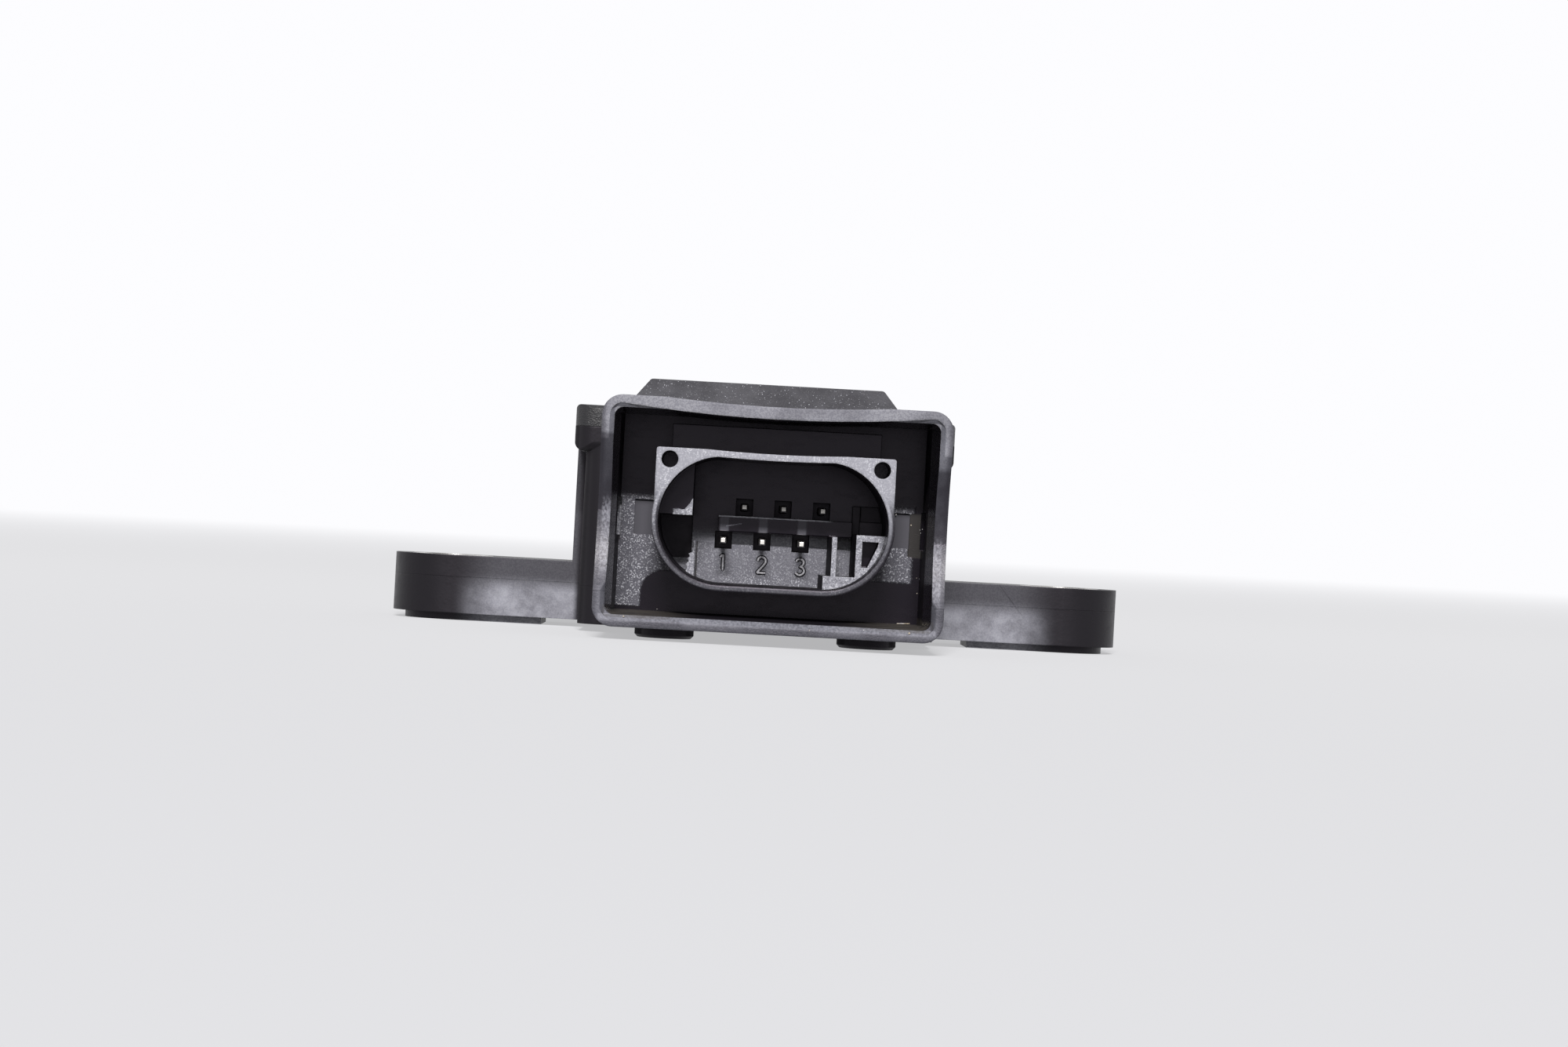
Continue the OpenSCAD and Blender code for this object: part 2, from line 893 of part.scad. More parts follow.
// Pins 1 to 3 lie in the lower row and 4 to 6 in the upper row, from left to right
function upper(n) = n > 3;
function pin_x(n) = pins_x + ((n - 1) % 3 - 1) * pin_pitch + (upper(n) ? row_shift : -row_shift);
function pin_z(n) = pins_z + (upper(n) ? row_z : -row_z);

module pin(n) {
    x = pin_x(n);
    z = pin_z(n);
    tip_y = mouth_y + pin_depth;
    leg_y = upper(n) ? leg_y1 : leg_y0;
    color("#d9d4c4") {
        intersection() {
            translate([x, 0, z])
                along_y(tip_y, leg_y + pin_w / 2)
                    square(pin_w, center = true);
            translate([x, tip_y, z - pin_w])
                linear_extrude(2 * pin_w)
                    pin_point(leg_y - tip_y + pin_w);
            translate([x - pin_w, tip_y, z])
                rotate([0, 90, 0])
                    linear_extrude(2 * pin_w)
                        pin_point(leg_y - tip_y + pin_w);
        }
        translate([x - pin_w / 2, leg_y - pin_w / 2, board_z - leg_stub])
            cube([pin_w, pin_w, z - board_z + leg_stub + pin_w / 2]);
    }
}

// Outline of a pin from its blunt tip at the origin back along Y
module pin_point(len) {
    polygon([
        [-pin_tip / 2, 0],
        [pin_tip / 2, 0],
        [pin_w / 2, pin_taper],
        [pin_w / 2, len],
        [-pin_w / 2, len],
        [-pin_w / 2, pin_taper],
    ]);
}

// Circuit board and its screws

module circuit_board() {
    color("darkgreen")
        difference() {
            block(board_w, board_y0, board_y1, board_z, board_top, board_r);
            for (place = post_places())
                translate([place[0], place[1], board_z - past])
                    cylinder(d = screw_d + 2 * board_play, h = board_t + 2 * past);
            for (n = [1 : 6])
                translate([pin_x(n), upper(n) ? leg_y1 : leg_y0, board_z - past])
                    cylinder(d = leg_hole_d, h = board_t + 2 * past);
        }
}

module board_screws() {
    color("lightgray")
        for (place = post_places())
            translate([place[0], place[1], board_top])
                screw();
}

module screw() {
    difference() {
        union() {
            cylinder(d = screw_head_d, h = screw_head_h);
            translate([0, 0, -screw_len])
                cylinder(d = screw_d, h = screw_len + screw_head_h / 2);
        }
        translate([0, 0, screw_head_h / 3])
            cylinder(d = screw_head_d / 2, h = screw_head_h, $fn = 6);
    }
}

// Components on the board

// At a share of the board's width and depth, and a step to the right of it
module on_board(share, right = 0) {
    translate([(share[0] - 0.5) * board_w + right, board_y0 + share[1] * board_d, board_top])
        children();
}

// A row of gull-wing leads along Y that reach out of a package body wide on the +X side
module lead_row(count, pitch, body, z, lead_w, reach = lead_reach) {
    knee = body / 2 + reach / 3;
    for (i = [0 : count - 1])
        translate([0, (i - (count - 1) / 2) * pitch + lead_w / 2, 0])
            rotate([90, 0, 0])
                linear_extrude(lead_w)
                    polygon([
                        [body / 2 - lead_t, z + lead_t],
                        [knee + lead_t, z + lead_t],
                        [knee + lead_t, lead_t],
                        [body / 2 + reach, lead_t],
                        [body / 2 + reach, 0],
                        [knee, 0],
                        [knee, z],
                        [body / 2 - lead_t, z],
                    ]);
}

// A package whose rows of leads lie on the sides that the turns name
module leaded(w, l, h, turns, count, pitch) {
    package(w, l, h);
    for (turn = turns)
        rotate([0, 0, turn])
            lead_row(count, pitch, w, h / 2, pitch / 3);
}

module package(w, l, h) {
    translate([-w / 2, -l / 2, lead_t / 2])
        cube([w, l, h - lead_t / 2]);
}

module accelerometer() {
    count = 8;
    color("#26262a")
        on_board(accelerometer_at)
            rotate([0, 0, 90])
                leaded(accelerometer_w, accelerometer_l, accelerometer_h, [0, 180], count,
                    accelerometer_l / (count + 0.1));
}

module signal_processor() {
    count = 8;
    color("#222226")
        on_board(processor_at)
            leaded(processor_w, processor_w, processor_h, [0, 90, 180, 270], count,
                processor_w / (count + 0.75));
}

module bus_transceiver() {
    color("#28282c")
        on_board(transceiver_at)
            leaded(transceiver_w, transceiver_l, transceiver_h, [0, 180], 4, lead_pitch);
}

module voltage_regulator() {
    color("#2a2a2e")
        on_board(regulator_at) {
            leaded(regulator_w, regulator_l, regulator_h, [0], 3, regulator_l / 3);
            rotate([0, 0, 180])
                lead_row(1, 0, regulator_w, regulator_h / 2, regulator_tab);
        }
}

module crystal() {
    color("gainsboro")
        on_board(crystal_at) {
            linear_extrude(crystal_h / 2)
                rounded_rect(crystal_w, crystal_l, crystal_edge);
            linear_extrude(crystal_h)
                rounded_rect(crystal_w - 2 * crystal_edge, crystal_l - 2 * crystal_edge,
                    2 * crystal_edge);
        }
}

module protection_diode() {
    color("#222222")
        on_board(diode_at)
            rotate([0, 0, 90]) {
                package(diode_l, diode_w, diode_h);
                for (turn = [0, 180])
                    rotate([0, 0, turn])
                        lead_row(1, 0, diode_l, diode_h / 2, diode_tab, lead_reach / 2);
            }
}

// A drum core between two legs below a plate
module bus_choke() {
    leg = choke_l / 4;
    color("#4a4642")
        on_board(choke_at) {
            for (end = [-1, 1])
                translate([end * (choke_l - leg) / 2 - leg / 2, -choke_w / 2, 0])
                    cube([leg, choke_w, choke_h]);
            translate([-choke_l / 2, -choke_w / 2, choke_h - choke_plate])
                cube([choke_l, choke_w, choke_plate]);
            translate([-choke_l / 4 - leg / 2, 0, choke_h / 2])
                rotate([0, 90, 0])
                    cylinder(d = choke_w * 0.6, h = choke_l / 2 + leg);
        }
}

module buffer_capacitors() {
    color("#b8b8bc")
        for (side = [-1, 1])
            on_board(cans_at, side * can_step / 2) {
                translate([-can_foot / 2, -can_foot / 2, 0])
                    cube([can_foot, can_foot, can_foot_h]);
                cylinder(d = can_d, h = can_h);
            }
}

// A row of chip parts, w by l each, spread along X about a share of the board
module chip_row(share, count, step, w, l) {
    for (i = [0 : count - 1])
        on_board(share, (i - (count - 1) / 2) * step)
            translate([-w / 2, -l / 2, 0])
                cube([w, l, chip_h]);
}

module ceramic_capacitors() {
    color("#b39b7d")
        chip_row(capacitors_at, capacitor_count, capacitor_step, chip_w, chip_l);
}

module chip_resistors() {
    color("#1d1d1f")
        chip_row(resistors_at, resistor_count, resistor_step, chip_l, chip_w);
}

housing();
lid();
lid_seal();
bush(-1);  // left_bush
bush(1);  // right_bush
pin(1);  // pin_1
pin(2);  // pin_2
pin(3);  // pin_3
pin(4);  // pin_4
pin(5);  // pin_5
pin(6);  // pin_6
circuit_board();
board_screws();
accelerometer();
signal_processor();
voltage_regulator();
bus_transceiver();
crystal();
ceramic_capacitors();
chip_resistors();
buffer_capacitors();
protection_diode();
bus_choke();
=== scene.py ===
import math
import random

import bmesh
import bpy
from mathutils import Matrix, Vector


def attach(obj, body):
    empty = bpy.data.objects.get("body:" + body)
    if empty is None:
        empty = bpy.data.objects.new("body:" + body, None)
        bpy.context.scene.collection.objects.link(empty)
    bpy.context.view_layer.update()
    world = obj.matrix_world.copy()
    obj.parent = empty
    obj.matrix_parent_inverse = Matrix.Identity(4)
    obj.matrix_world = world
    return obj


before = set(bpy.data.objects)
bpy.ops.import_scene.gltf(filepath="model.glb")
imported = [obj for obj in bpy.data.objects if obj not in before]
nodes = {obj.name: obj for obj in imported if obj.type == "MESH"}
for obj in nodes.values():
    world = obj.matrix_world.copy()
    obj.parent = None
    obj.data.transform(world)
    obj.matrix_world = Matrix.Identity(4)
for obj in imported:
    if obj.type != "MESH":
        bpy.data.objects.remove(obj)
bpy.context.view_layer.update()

MM = 0.001


# Places on the part, in millimetres: x to the right, y away from the plug, z up

MOUTH_Y = -38
COLLAR_Y = -32.8
STEP_Y = -26.9
BACK_WALL_Y = -21.5
BAR_Y = -20
BOX_FRONT_Y = -19
PIN_FLOOR_Y = -17.5
WINDOW_DEPTH = 0.35
SHROUD_HALF = 17.2
SHROUD_BOTTOM_Z = 1.23
SHROUD_FLOOR_Z = 2.43
COLLAR_HALF_STRAIGHT = 5.1
COLLAR_RADIUS = 6.7
LOW_PIN_X = (-3.72, 0.28, 4.28)
BAR_TOP_Z = 12.72
HOLE_X = 33
SEAM_Z = 4.64

# Middle of the socket, in x and z
SOCKET = (1.04, 12.12)

# Marks of the mould: those of the ejectors in x and y, that of the gate in x and z
EJECTOR_MARKS = ((-13, -12), (15, -12), (-13, 12), (15, 12))
EJECTOR_RADIUS = 1.6
GATE_MARK = (6, 6)
GATE_RADII = (1.3, 0.35)


# The camera, from the photograph

PHOTO_SIZE = (2000, 1335)
FOCAL_PX = 4310
VANISHING_PX = (940, 670)
ROLL = math.radians(3.15)
CAMERA_AT = MM * Vector((-2.43, -368, 11.75))
SENSOR_MM = 36
NEAREST_SEEN = 10 * MM


def make_camera():
    """Puts the camera where the photograph was taken, with the object turned a little clockwise."""
    right = Vector((math.cos(ROLL), 0, math.sin(ROLL)))
    up = Vector((-math.sin(ROLL), 0, math.cos(ROLL)))
    aside = (PHOTO_SIZE[0] / 2 - VANISHING_PX[0]) / FOCAL_PX
    above = (VANISHING_PX[1] - PHOTO_SIZE[1] / 2) / FOCAL_PX
    ahead = (Vector((0, 1, 0)) + aside * right + above * up).normalized()
    right = (right - right.dot(ahead) * ahead).normalized()
    up = right.cross(ahead)
    data = bpy.data.cameras.new("camera")
    data.sensor_width = SENSOR_MM
    data.lens = FOCAL_PX / PHOTO_SIZE[0] * SENSOR_MM
    data.clip_start = NEAREST_SEEN
    camera = bpy.data.objects.new("camera", data)
    turned = Matrix((right, up, -ahead)).transposed().to_4x4()
    camera.matrix_world = Matrix.Translation(CAMERA_AT) @ turned
    bpy.context.scene.collection.objects.link(camera)
    bpy.context.scene.camera = camera


# Materials as expressions

class Value:
    """A value inside a finish. Arithmetic on it adds Math nodes, | takes the larger of two values
    and & takes the smaller."""

    def __init__(self, tree, socket):
        self.tree = tree
        self.socket = socket

    def math(self, operation, *others):
        return add_node(self.tree, "Math", {"operation": operation}, dict(enumerate((self, *others))))

    def __add__(self, other):
        return self.math("ADD", other)

    def __mul__(self, other):
        return self.math("MULTIPLY", other)

    def __neg__(self):
        return self.math("MULTIPLY", -1)

    def __sub__(self, other):
        return self.math("SUBTRACT", other)

    def __rsub__(self, other):
        return -self + other

    def __abs__(self):
        return self.math("ABSOLUTE")

    def __or__(self, other):
        return self.math("MAXIMUM", other)

    def __and__(self, other):
        return self.math("MINIMUM", other)

    __radd__ = __add__
    __rmul__ = __mul__
    __ror__ = __or__
    __rand__ = __and__


def add_node(tree, kind, settings=None, sockets=None, output=0):
    """Adds a node: its settings first, then the numbers, colours or links of its sockets."""
    made = tree.nodes.new("ShaderNode" + kind)
    for name, value in (settings or {}).items():
        setattr(made, name, value)
    for name, value in (sockets or {}).items():
        if isinstance(value, Value):
            tree.links.new(value.socket, made.inputs[name])
        else:
            made.inputs[name].default_value = value
    return Value(tree, made.outputs[output]) if made.outputs else None


SEEN_RAYS = ("Is Camera Ray", "Is Glossy Ray", "Is Transmission Ray")


def seen_directly(tree):
    """1 for the rays of the camera and of shiny or clear pieces, and 0 for other light."""
    camera, glossy, through = (add_node(tree, "LightPath", output=kind) for kind in SEEN_RAYS)
    return camera | glossy | through


class Finish:
    """A material that is put together from nodes, with places and sizes in millimetres."""

    def __init__(self, name):
        self.material = bpy.data.materials.new(name)
        self.material.use_nodes = True
        self.tree = self.material.node_tree
        self.tree.nodes.clear()
        metres = self.node("TexCoord", output="Object")
        self.place = self.node("VectorMath", {"operation": "SCALE"}, {0: metres, "Scale": 1 / MM})
        self.x, self.y, self.z = self.axes(self.place)

    def axes(self, vector):
        return [self.node("SeparateXYZ", sockets={"Vector": vector}, output=axis) for axis in "XYZ"]

    def node(self, kind, settings=None, sockets=None, output=0):
        return add_node(self.tree, kind, settings, sockets, output)

    def noise(self, size, detail=2.0, roughness=0.5, stretch=(1, 1, 1)):
        """Noise whose spots are about size across, from 0 to 1."""
        place = self.node(
            "Mapping", sockets={"Vector": self.place, "Scale": tuple(s / size for s in stretch)}
        )
        return self.node(
            "TexNoise",
            {"noise_dimensions": "3D"},
            {"Vector": place, "Scale": 1.0, "Detail": detail, "Roughness": roughness},
        )

    def step(self, value, low, high):
        """Rises smoothly from 0 at low to 1 at high."""
        return self.node(
            "MapRange",
            {"interpolation_type": "SMOOTHSTEP"},
            {"Value": value, "From Min": low, "From Max": high},
        )

    def fall(self, value, low, high):
        """Falls smoothly from 1 at low to 0 at high."""
        return 1 - self.step(value, low, high)

    def near(self, value, middle, reach, edge):
        """1 within reach of middle, fading to 0 over the edge."""
        return self.fall(abs(value - middle), reach, reach + edge)

    def facing(self, axis, sign, low=0.6, high=0.85):
        """1 where the surface looks along an axis."""
        normal = self.axes(self.node("TexCoord", output="Normal"))["XYZ".index(axis)]
        return self.step(normal * sign, low, high)

    def ring(self, across, up, middle, height, radius):
        """1 on a thin ring around a point, along two of the axes."""
        aside = getattr(self, across) - middle
        above = getattr(self, up) - height
        return self.near((aside * aside + above * above).math("SQRT"), radius, 0.06, 0.08)

    def round_patch(self, left, right, low, high, radius, edge):
        """1 inside a rounded rectangle seen from the front, with a soft edge."""
        aside = abs(self.x - (left + right) / 2) - ((right - left) / 2 - radius) | 0
        above = abs(self.z - (low + high) / 2) - ((high - low) / 2 - radius) | 0
        out = (aside * aside + above * above).math("SQRT")
        return self.fall(out, radius - edge, radius + edge)

    def stroke(self, start, end, half, edge):
        """1 along a straight stroke from start to end, seen from the front."""
        run = Vector(end) - Vector(start)
        length = run.length
        run /= length
        aside, above = self.x - start[0], self.z - start[1]
        along = aside * run.x + above * run.y
        off = above * run.x - aside * run.y
        past = abs(along - length / 2) - length / 2 | 0
        return self.fall((past * past + off * off).math("SQRT"), half, half + edge)

    def mix(self, share, first, second):
        """A colour between two colours."""
        return self.node(
            "Mix", {"data_type": "RGBA"}, {"Factor": share, 6: first, 7: second}, output=2
        )

    def bump(self, height, distance, below=None):
        """Normals of a relief that stands distance millimetres high."""
        sockets = {"Height": height, "Distance": distance * MM, "Strength": 1.0}
        if below:
            sockets["Normal"] = below
        return self.node("Bump", sockets=sockets)

    def soft_edges(self, radius):
        """Normals that round every edge off at this radius."""
        return self.node("Bevel", {"samples": 8}, {"Radius": radius * MM})

    def turn(self, share, first, second):
        """Normals between two others."""
        mixed = self.node(
            "Mix", {"data_type": "VECTOR"}, {"Factor": share, 4: first, 5: second}, output=1
        )
        return self.node("VectorMath", {"operation": "NORMALIZE"}, {0: mixed})

    def close(self, sockets):
        """Ends the finish with a Principled shader."""
        return self.end(self.node("BsdfPrincipled", sockets=sockets))

    def end(self, shader):
        """Ends the finish with any shader."""
        self.node("OutputMaterial", sockets={"Surface": shader})
        return self.material


# The housing's plastic

POLISHED = (0.0048, 0.0036, 0.0062, 1)
OUTSIDE = (0.0068, 0.0065, 0.0076, 1)
GRAINED = (0.060, 0.061, 0.074, 1)
# A hazy skin, made paler still by painted sheen
HAZE_AND_SHEEN = (0.158, 0.160, 0.190, 1)
# Pale grey for painted light and painted highlights, and for rubs and the bar's scratch
PALE = (0.345, 0.350, 0.400, 1)
# Colour of painted glints
GLINT_GREY = (0.52, 0.53, 0.58, 1)
OLIVE = (0.036, 0.034, 0.031, 1)
DUST_FILM = (0.110, 0.100, 0.085, 1)
# Smooth grey of the windows, and the painted light on the left wall's lower part
WINDOW_AND_LIT_WALL_GREY = (0.078, 0.078, 0.090, 1)

# Patches seen from the front: left, right, low and high side, corner radius and soft edge
SLIDE_PATCH = (-12.0, 20, 0.5, 6.8, 2.4, 0.15)
SLOT_PATCH = (-15.4, -14.3, 9.6, 13.6, 0.1, 0.05)
STAIN_PATCH = (15.2, 17.6, 9.4, 13.9, 0.3, 0.1)

# Scratches seen from the front: from and to
BAR_SCRATCH = ((-3.5, 11.65), (-2.0, 11.95))
EAR_SCRATCH = ((25.9, 6.9), (28.6, 3.6))

# Stretches along an axis: middle, reach and soft edge
STAIN_Y = (-22.5, 1.3, 0.4)
LEFT_WALL_X = (-15, 0.6, 0.1)
LEFT_WALL_Y = (-26, 4.6, 0.5)
BAR_X = (2.44, 6.9, 0.05)
BAR_HIGHLIGHT_Z = (BAR_TOP_Z - 0.07, 0.05, 0.04)
RIB_SHADOW_X = (-6.45, 0.06, 0.03)
LIT_BAND_Z = (10.35, 0.4, 0.12)
LEFT_HOLLOW_Z = (16.3, 3.6, 0.5)
RIGHT_HOLLOW_Z = (14.5, 3.4, 0.6)
LEFT_RUB = {"x": (-16, 2, 0.5), "z": (10, 2.5, 2)}
RIGHT_RUB = {"x": (18, 2, 0.5), "z": (8, 2, 2)}
DUSTY_BOTTOM = {"y": (-29.5, 8.2, 0.2), "z": (2.6, 0.5, 0.3)}
MATT_BOTTOM = {"y": (-29.5, 8.4, 0.2), "z": (2.2, 0.9, 0.2)}
MATT_SIDES_Y = (-22.2, 5.2, 0.3)
BORE_Y = (-25.1, 7.5, 0.1)

# Distances from the middle of the collar's wall: middle, reach and soft edge
COLLAR_CORE = (-0.02, 0.07, 0.2)
COLLAR_BORE = (-0.33, 0.06, 0.04)

# Ends of the finishes: where each begins to change, and where it has changed
BACK_RIGHT_X = (15.3, 15.9)
BACK_TOP_Z = (14.0, 14.8)
BACK_FOOT_Z = (2.9, 3.05)
LIT_FLOOR_TOP_Z = (9.8, 11.6)
LIT_FLOOR_RIGHT_X = (9.6, 9.8)
CALM_FLOOR_Z = (5.9, 6.9)
LEFT_WALL_TOP_Z = (9.2, 9.4)
SHADED_CORNER_X = (-9.1, -8.9)
SHADED_CORNER_Z = (13.0, 13.12)
LEFT_RIB_X = (-6.3, -6.1)
RIB_SHADOW_TOP_Z = (9.8, 10)
BAR_HIGHLIGHT_END_X = (6.6, 7.6)
HIGH_COLLAR_Z = (9.0, 15.5)
COLLAR_TOP_Z = (13.0, 16.0)
MOUTH_END_Y = (MOUTH_Y + 2, MOUTH_Y + 2.3)
LEFT_RIM_X = (-14.6, -14.2)
RIGHT_RIM_X = (16.3, 16.7)
RIM_TOP_Z = (17, 21)
RIM_FOOT_Z = (SHROUD_FLOOR_Z + 0.02, SHROUD_FLOOR_Z + 0.07)
EAR_START_X = (18.9, 19.6)
EAR_END_X = (27, 32.5)
LOW_EAR_Z = (3.9, 6.0)
DUSTY_CORNERS = (6, 13)
OUTER_SIDE = (SHROUD_HALF - 0.1, SHROUD_HALF)
SEAM_SIDE = (SHROUD_HALF - 0.1, SHROUD_HALF - 0.02)
OUTER_TOP_Z = (23.3, 23.7)
OUTER_FOOT_Z = (SHROUD_BOTTOM_Z + 0.01, SHROUD_BOTTOM_Z + 0.07)
BOX_START_Y = (BOX_FRONT_Y - 0.4, BOX_FRONT_Y - 0.2)
UNDERSIDE_Z = (0.9, 1.0)
REAR_Y = (10, 11)

# The painted shadow's lower edge on the left step rises from here to the right
SHADOW_RISE_X = -7.75
SHADOW_RISE = 1.5


def grain_relief(finish):
    """Spark-eroded grain: fine pits among coarser lumps."""
    fine = finish.noise(0.15, detail=2.0, roughness=0.6)
    lumps = finish.noise(0.36, detail=2.0, roughness=0.55)
    return 0.5 * fine + 0.5 * lumps


def glint_spots(finish, low, high):
    """Spots the size of one grain. Used in a colour, they are painted glints."""
    return finish.step(finish.noise(0.15, detail=1.0, roughness=0.5), low, high)


class HousingFinish(Finish):
    """Black plastic: grained by the spark-eroded mould, polished by its slides and core pins,
    and hazy or rubbed pale on the rim, the collar and the ears. Painted sheen makes the hazy
    faces paler still, and painted highlights, painted light and painted shade are laid on it too.

    Its values are masks of those areas. Its methods make the colour, the gloss and the relief.
    """

    def __init__(self):
        super().__init__("housing plastic")
        self.front = self.facing("Y", -1)
        self.from_middle = abs(self.x - SOCKET[0])
        self.cloud = self.noise(3.2, detail=4.0, roughness=0.62)
        self.mark_cavity()
        self.mark_steps()
        self.mark_collar()
        self.mark_rim()
        self.mark_ears()
        self.mark_outside()
        self.grained = 0.8 * self.shaded_mouth | 0.6 * self.collar | self.steps
        self.grained = self.grained | (self.back_grain | self.lit_floor)
        # The hazy areas: real haze, made paler by painted sheen on the ears, the collar, the rim and
        # the steps, and by painted light on the lit pin floor
        self.haze_and_sheen = (self.ear_sheen_and_smear | self.collar) | (self.rim_haze_and_sheen | self.steps)
        self.haze_and_sheen = self.haze_and_sheen | (0.62 * self.lit_floor | 0.3 * self.back_grain)

    def face(self, depth, reach=0.06):
        """1 on the faces that look towards the plug at this depth."""
        return self.near(self.y, depth, reach, 0.05) * self.front

    def spot(self, stretches):
        """1 where each of the named axes lies in its stretch."""
        within = (self.near(getattr(self, axis), *stretch) for axis, stretch in stretches.items())
        return math.prod(within)

    def mark_cavity(self):
        """The back wall with its windows, its stain and the painted shade on its top, the pin floor
        with its painted lit part, and the left wall with its painted lit lower part.
        """
        x, y, z = self.x, self.y, self.z
        self.back = self.face(BACK_WALL_Y)
        self.window = self.face(BACK_WALL_Y + WINDOW_DEPTH, 0.1)
        self.stain = self.round_patch(*STAIN_PATCH) * self.near(y, *STAIN_Y)
        # Smooth, dark back wall below the collar, at its right end and along its foot; above the line
        # where the top wall's shadow falls, this dark is painted shade
        slide = self.round_patch(*SLIDE_PATCH) | self.step(x, *BACK_RIGHT_X)
        slide = slide | (self.step(z, *BACK_TOP_Z) | self.fall(z, *BACK_FOOT_Z))
        self.back_grain = self.back * (1 - slide) * (1 - self.stain)
        self.pin_floor = self.face(PIN_FLOOR_Y - 0.1, 0.17)
        # Painted light: the pin floor below the bar's shadow is grained and paler, as lit; above it
        # the floor stays dark as in shade
        low = self.fall(z, *LIT_FLOOR_TOP_Z) * self.fall(x, *LIT_FLOOR_RIGHT_X)
        self.lit_floor = self.pin_floor * low
        # Painted light on the left wall's lower part; its upper part stays dark
        low = self.fall(z, *LEFT_WALL_TOP_Z) * self.near(y, *LEFT_WALL_Y)
        self.lit_left_wall = self.facing("X", 1) * self.near(x, *LEFT_WALL_X) * low

    def mark_steps(self):
        """The steps and ribs that key the plug, with a painted shadow over the upper left corner of
        the left step, and the bar with its painted edge highlight.
        """
        x, z = self.x, self.z
        ragged = 0.5 * (self.noise(0.4, detail=2.0) - 0.5)
        # Painted shadow over the left step's upper left corner, with a ragged edge; outside it the
        # steps are painted pale as lit faces
        painted_shadow = self.step(z - SHADOW_RISE * (x - SHADOW_RISE_X | 0) + ragged, *SHADED_CORNER_Z)
        painted_shadow = painted_shadow | self.fall(x + ragged, *SHADED_CORNER_X)
        left_rib = self.face(BAR_Y, 0.08) * self.fall(x, *LEFT_RIB_X)
        self.steps = self.face(STEP_Y) * (1 - painted_shadow) | left_rib
        self.bar = self.face(BAR_Y, 0.08) * self.near(x, *BAR_X)
        # Painted highlight along the bar's upper edge
        self.bar_edge_highlight = self.bar * self.near(z, *BAR_HIGHLIGHT_Z) * self.fall(x, *BAR_HIGHLIGHT_END_X)

    def mark_collar(self):
        """The collar's edge, painted brightest along the middle of its wall and towards the top:
        painted highlights.
        """
        along = self.from_middle - COLLAR_HALF_STRAIGHT | 0
        above = self.z - SOCKET[1]
        self.off_ring = (along * along + above * above).math("SQRT") - COLLAR_RADIUS
        self.high = self.step(self.z, *HIGH_COLLAR_Z)
        core = self.near(self.off_ring, *COLLAR_CORE) | self.step(self.z, *COLLAR_TOP_Z)
        self.collar = self.face(COLLAR_Y) * (0.3 + 0.7 * self.high) * (0.12 + 0.88 * core)

    def mark_rim(self):
        """The edge of the mouth: hazy with painted sheen at the top, rubbed by plugs at the sides,
        with painted shade in its hollows and towards its outer edges, and a painted highlight along
        its lower inner edge.
        """
        x, y, z = self.x, self.y, self.z
        self.mouth = self.fall(y, *MOUTH_END_Y) * self.facing("Y", -1, 0.3, 0.6)
        left_hollow = self.near(z, *LEFT_HOLLOW_Z) * self.fall(x, *LEFT_RIM_X)
        right_hollow = self.near(z, *RIGHT_HOLLOW_Z) * self.step(x, *RIGHT_RIM_X)
        # Painted shade in the hollows of the rim's scooped sides
        self.shaded_mouth = self.mouth * (1 - 0.72 * (left_hollow | right_hollow))
        to_edge = (SHROUD_HALF - self.from_middle) & (z - SHROUD_BOTTOM_Z)
        wear = self.step(self.noise(4.5, detail=3.0), 0.40, 0.60)
        self.rim_haze_and_sheen = self.shaded_mouth * (0.1 + 0.45 * wear + 0.6 * self.step(z, *RIM_TOP_Z))
        # Painted shade towards the rim's outer edges, where they round off
        self.rim_haze_and_sheen = self.rim_haze_and_sheen * (0.3 + 0.7 * self.step(to_edge, 0.15, 0.65))
        rubbed = self.step(self.noise(0.22, detail=2.0, stretch=(1, 1, 0.6)), 0.30, 0.70)
        side_rub = (self.spot(LEFT_RUB) | self.spot(RIGHT_RUB)) * self.step(to_edge, 0.3, 0.55)
        side_rub = 0.6 * side_rub * rubbed
        # Painted highlight along the lower rim's inner edge
        low_edge_highlight = self.fall(z, *RIM_FOOT_Z) * self.step(to_edge, 0.45, 0.85)
        self.rim_rubs_and_highlight = self.mouth * (side_rub | 0.65 * low_edge_highlight * (0.4 + 0.6 * rubbed))

    def mark_ears(self):
        """The smeared fronts of the ears, paler in their lower half as painted sheen."""
        self.ears = self.step(abs(self.x), *EAR_START_X)
        self.low_half = self.fall(self.z + 1.2 * self.cloud, *LOW_EAR_Z)
        self.smear = self.step(self.cloud, 0.25, 0.75)
        flat_front = self.facing("Y", -1, 0.6, 0.99) * self.fall(abs(self.x), *EAR_END_X)
        # Painted sheen: the lower half of each ear's front is paler
        sheen_and_smear = 0.25 + 0.75 * self.low_half * (0.6 + 0.4 * self.smear)
        self.ear_sheen_and_smear = self.ears * flat_front * sheen_and_smear

    def mark_outside(self):
        """The outer faces of the shroud, the box and the ears."""
        outside = self.step(self.from_middle, *OUTER_SIDE) | self.step(self.y, *BOX_START_Y)
        outside = outside | self.step(self.z, *OUTER_TOP_Z) | self.fall(self.z, *OUTER_FOOT_Z)
        self.outside = outside * (1 - self.pin_floor)

    def colour(self):
        """From the dark ground up to the painted glints, then what lies on it, and last the painted
        shade.
        """
        base = self.mix(self.outside, POLISHED, OUTSIDE)
        base = self.mix(self.grained, base, GRAINED)
        # Hazy areas, with painted sheen
        base = self.mix(self.haze_and_sheen, base, HAZE_AND_SHEEN)
        # Painted light, painted highlights and the rim's rubs
        base = self.mix(self.painted_light_and_rubs(), base, PALE)
        # Painted glints
        base = self.mix(self.grain_glints(), base, GLINT_GREY)
        base = self.mix(self.stain, base, OLIVE)
        base = self.mix(0.8 * self.dust_film(), base, DUST_FILM)
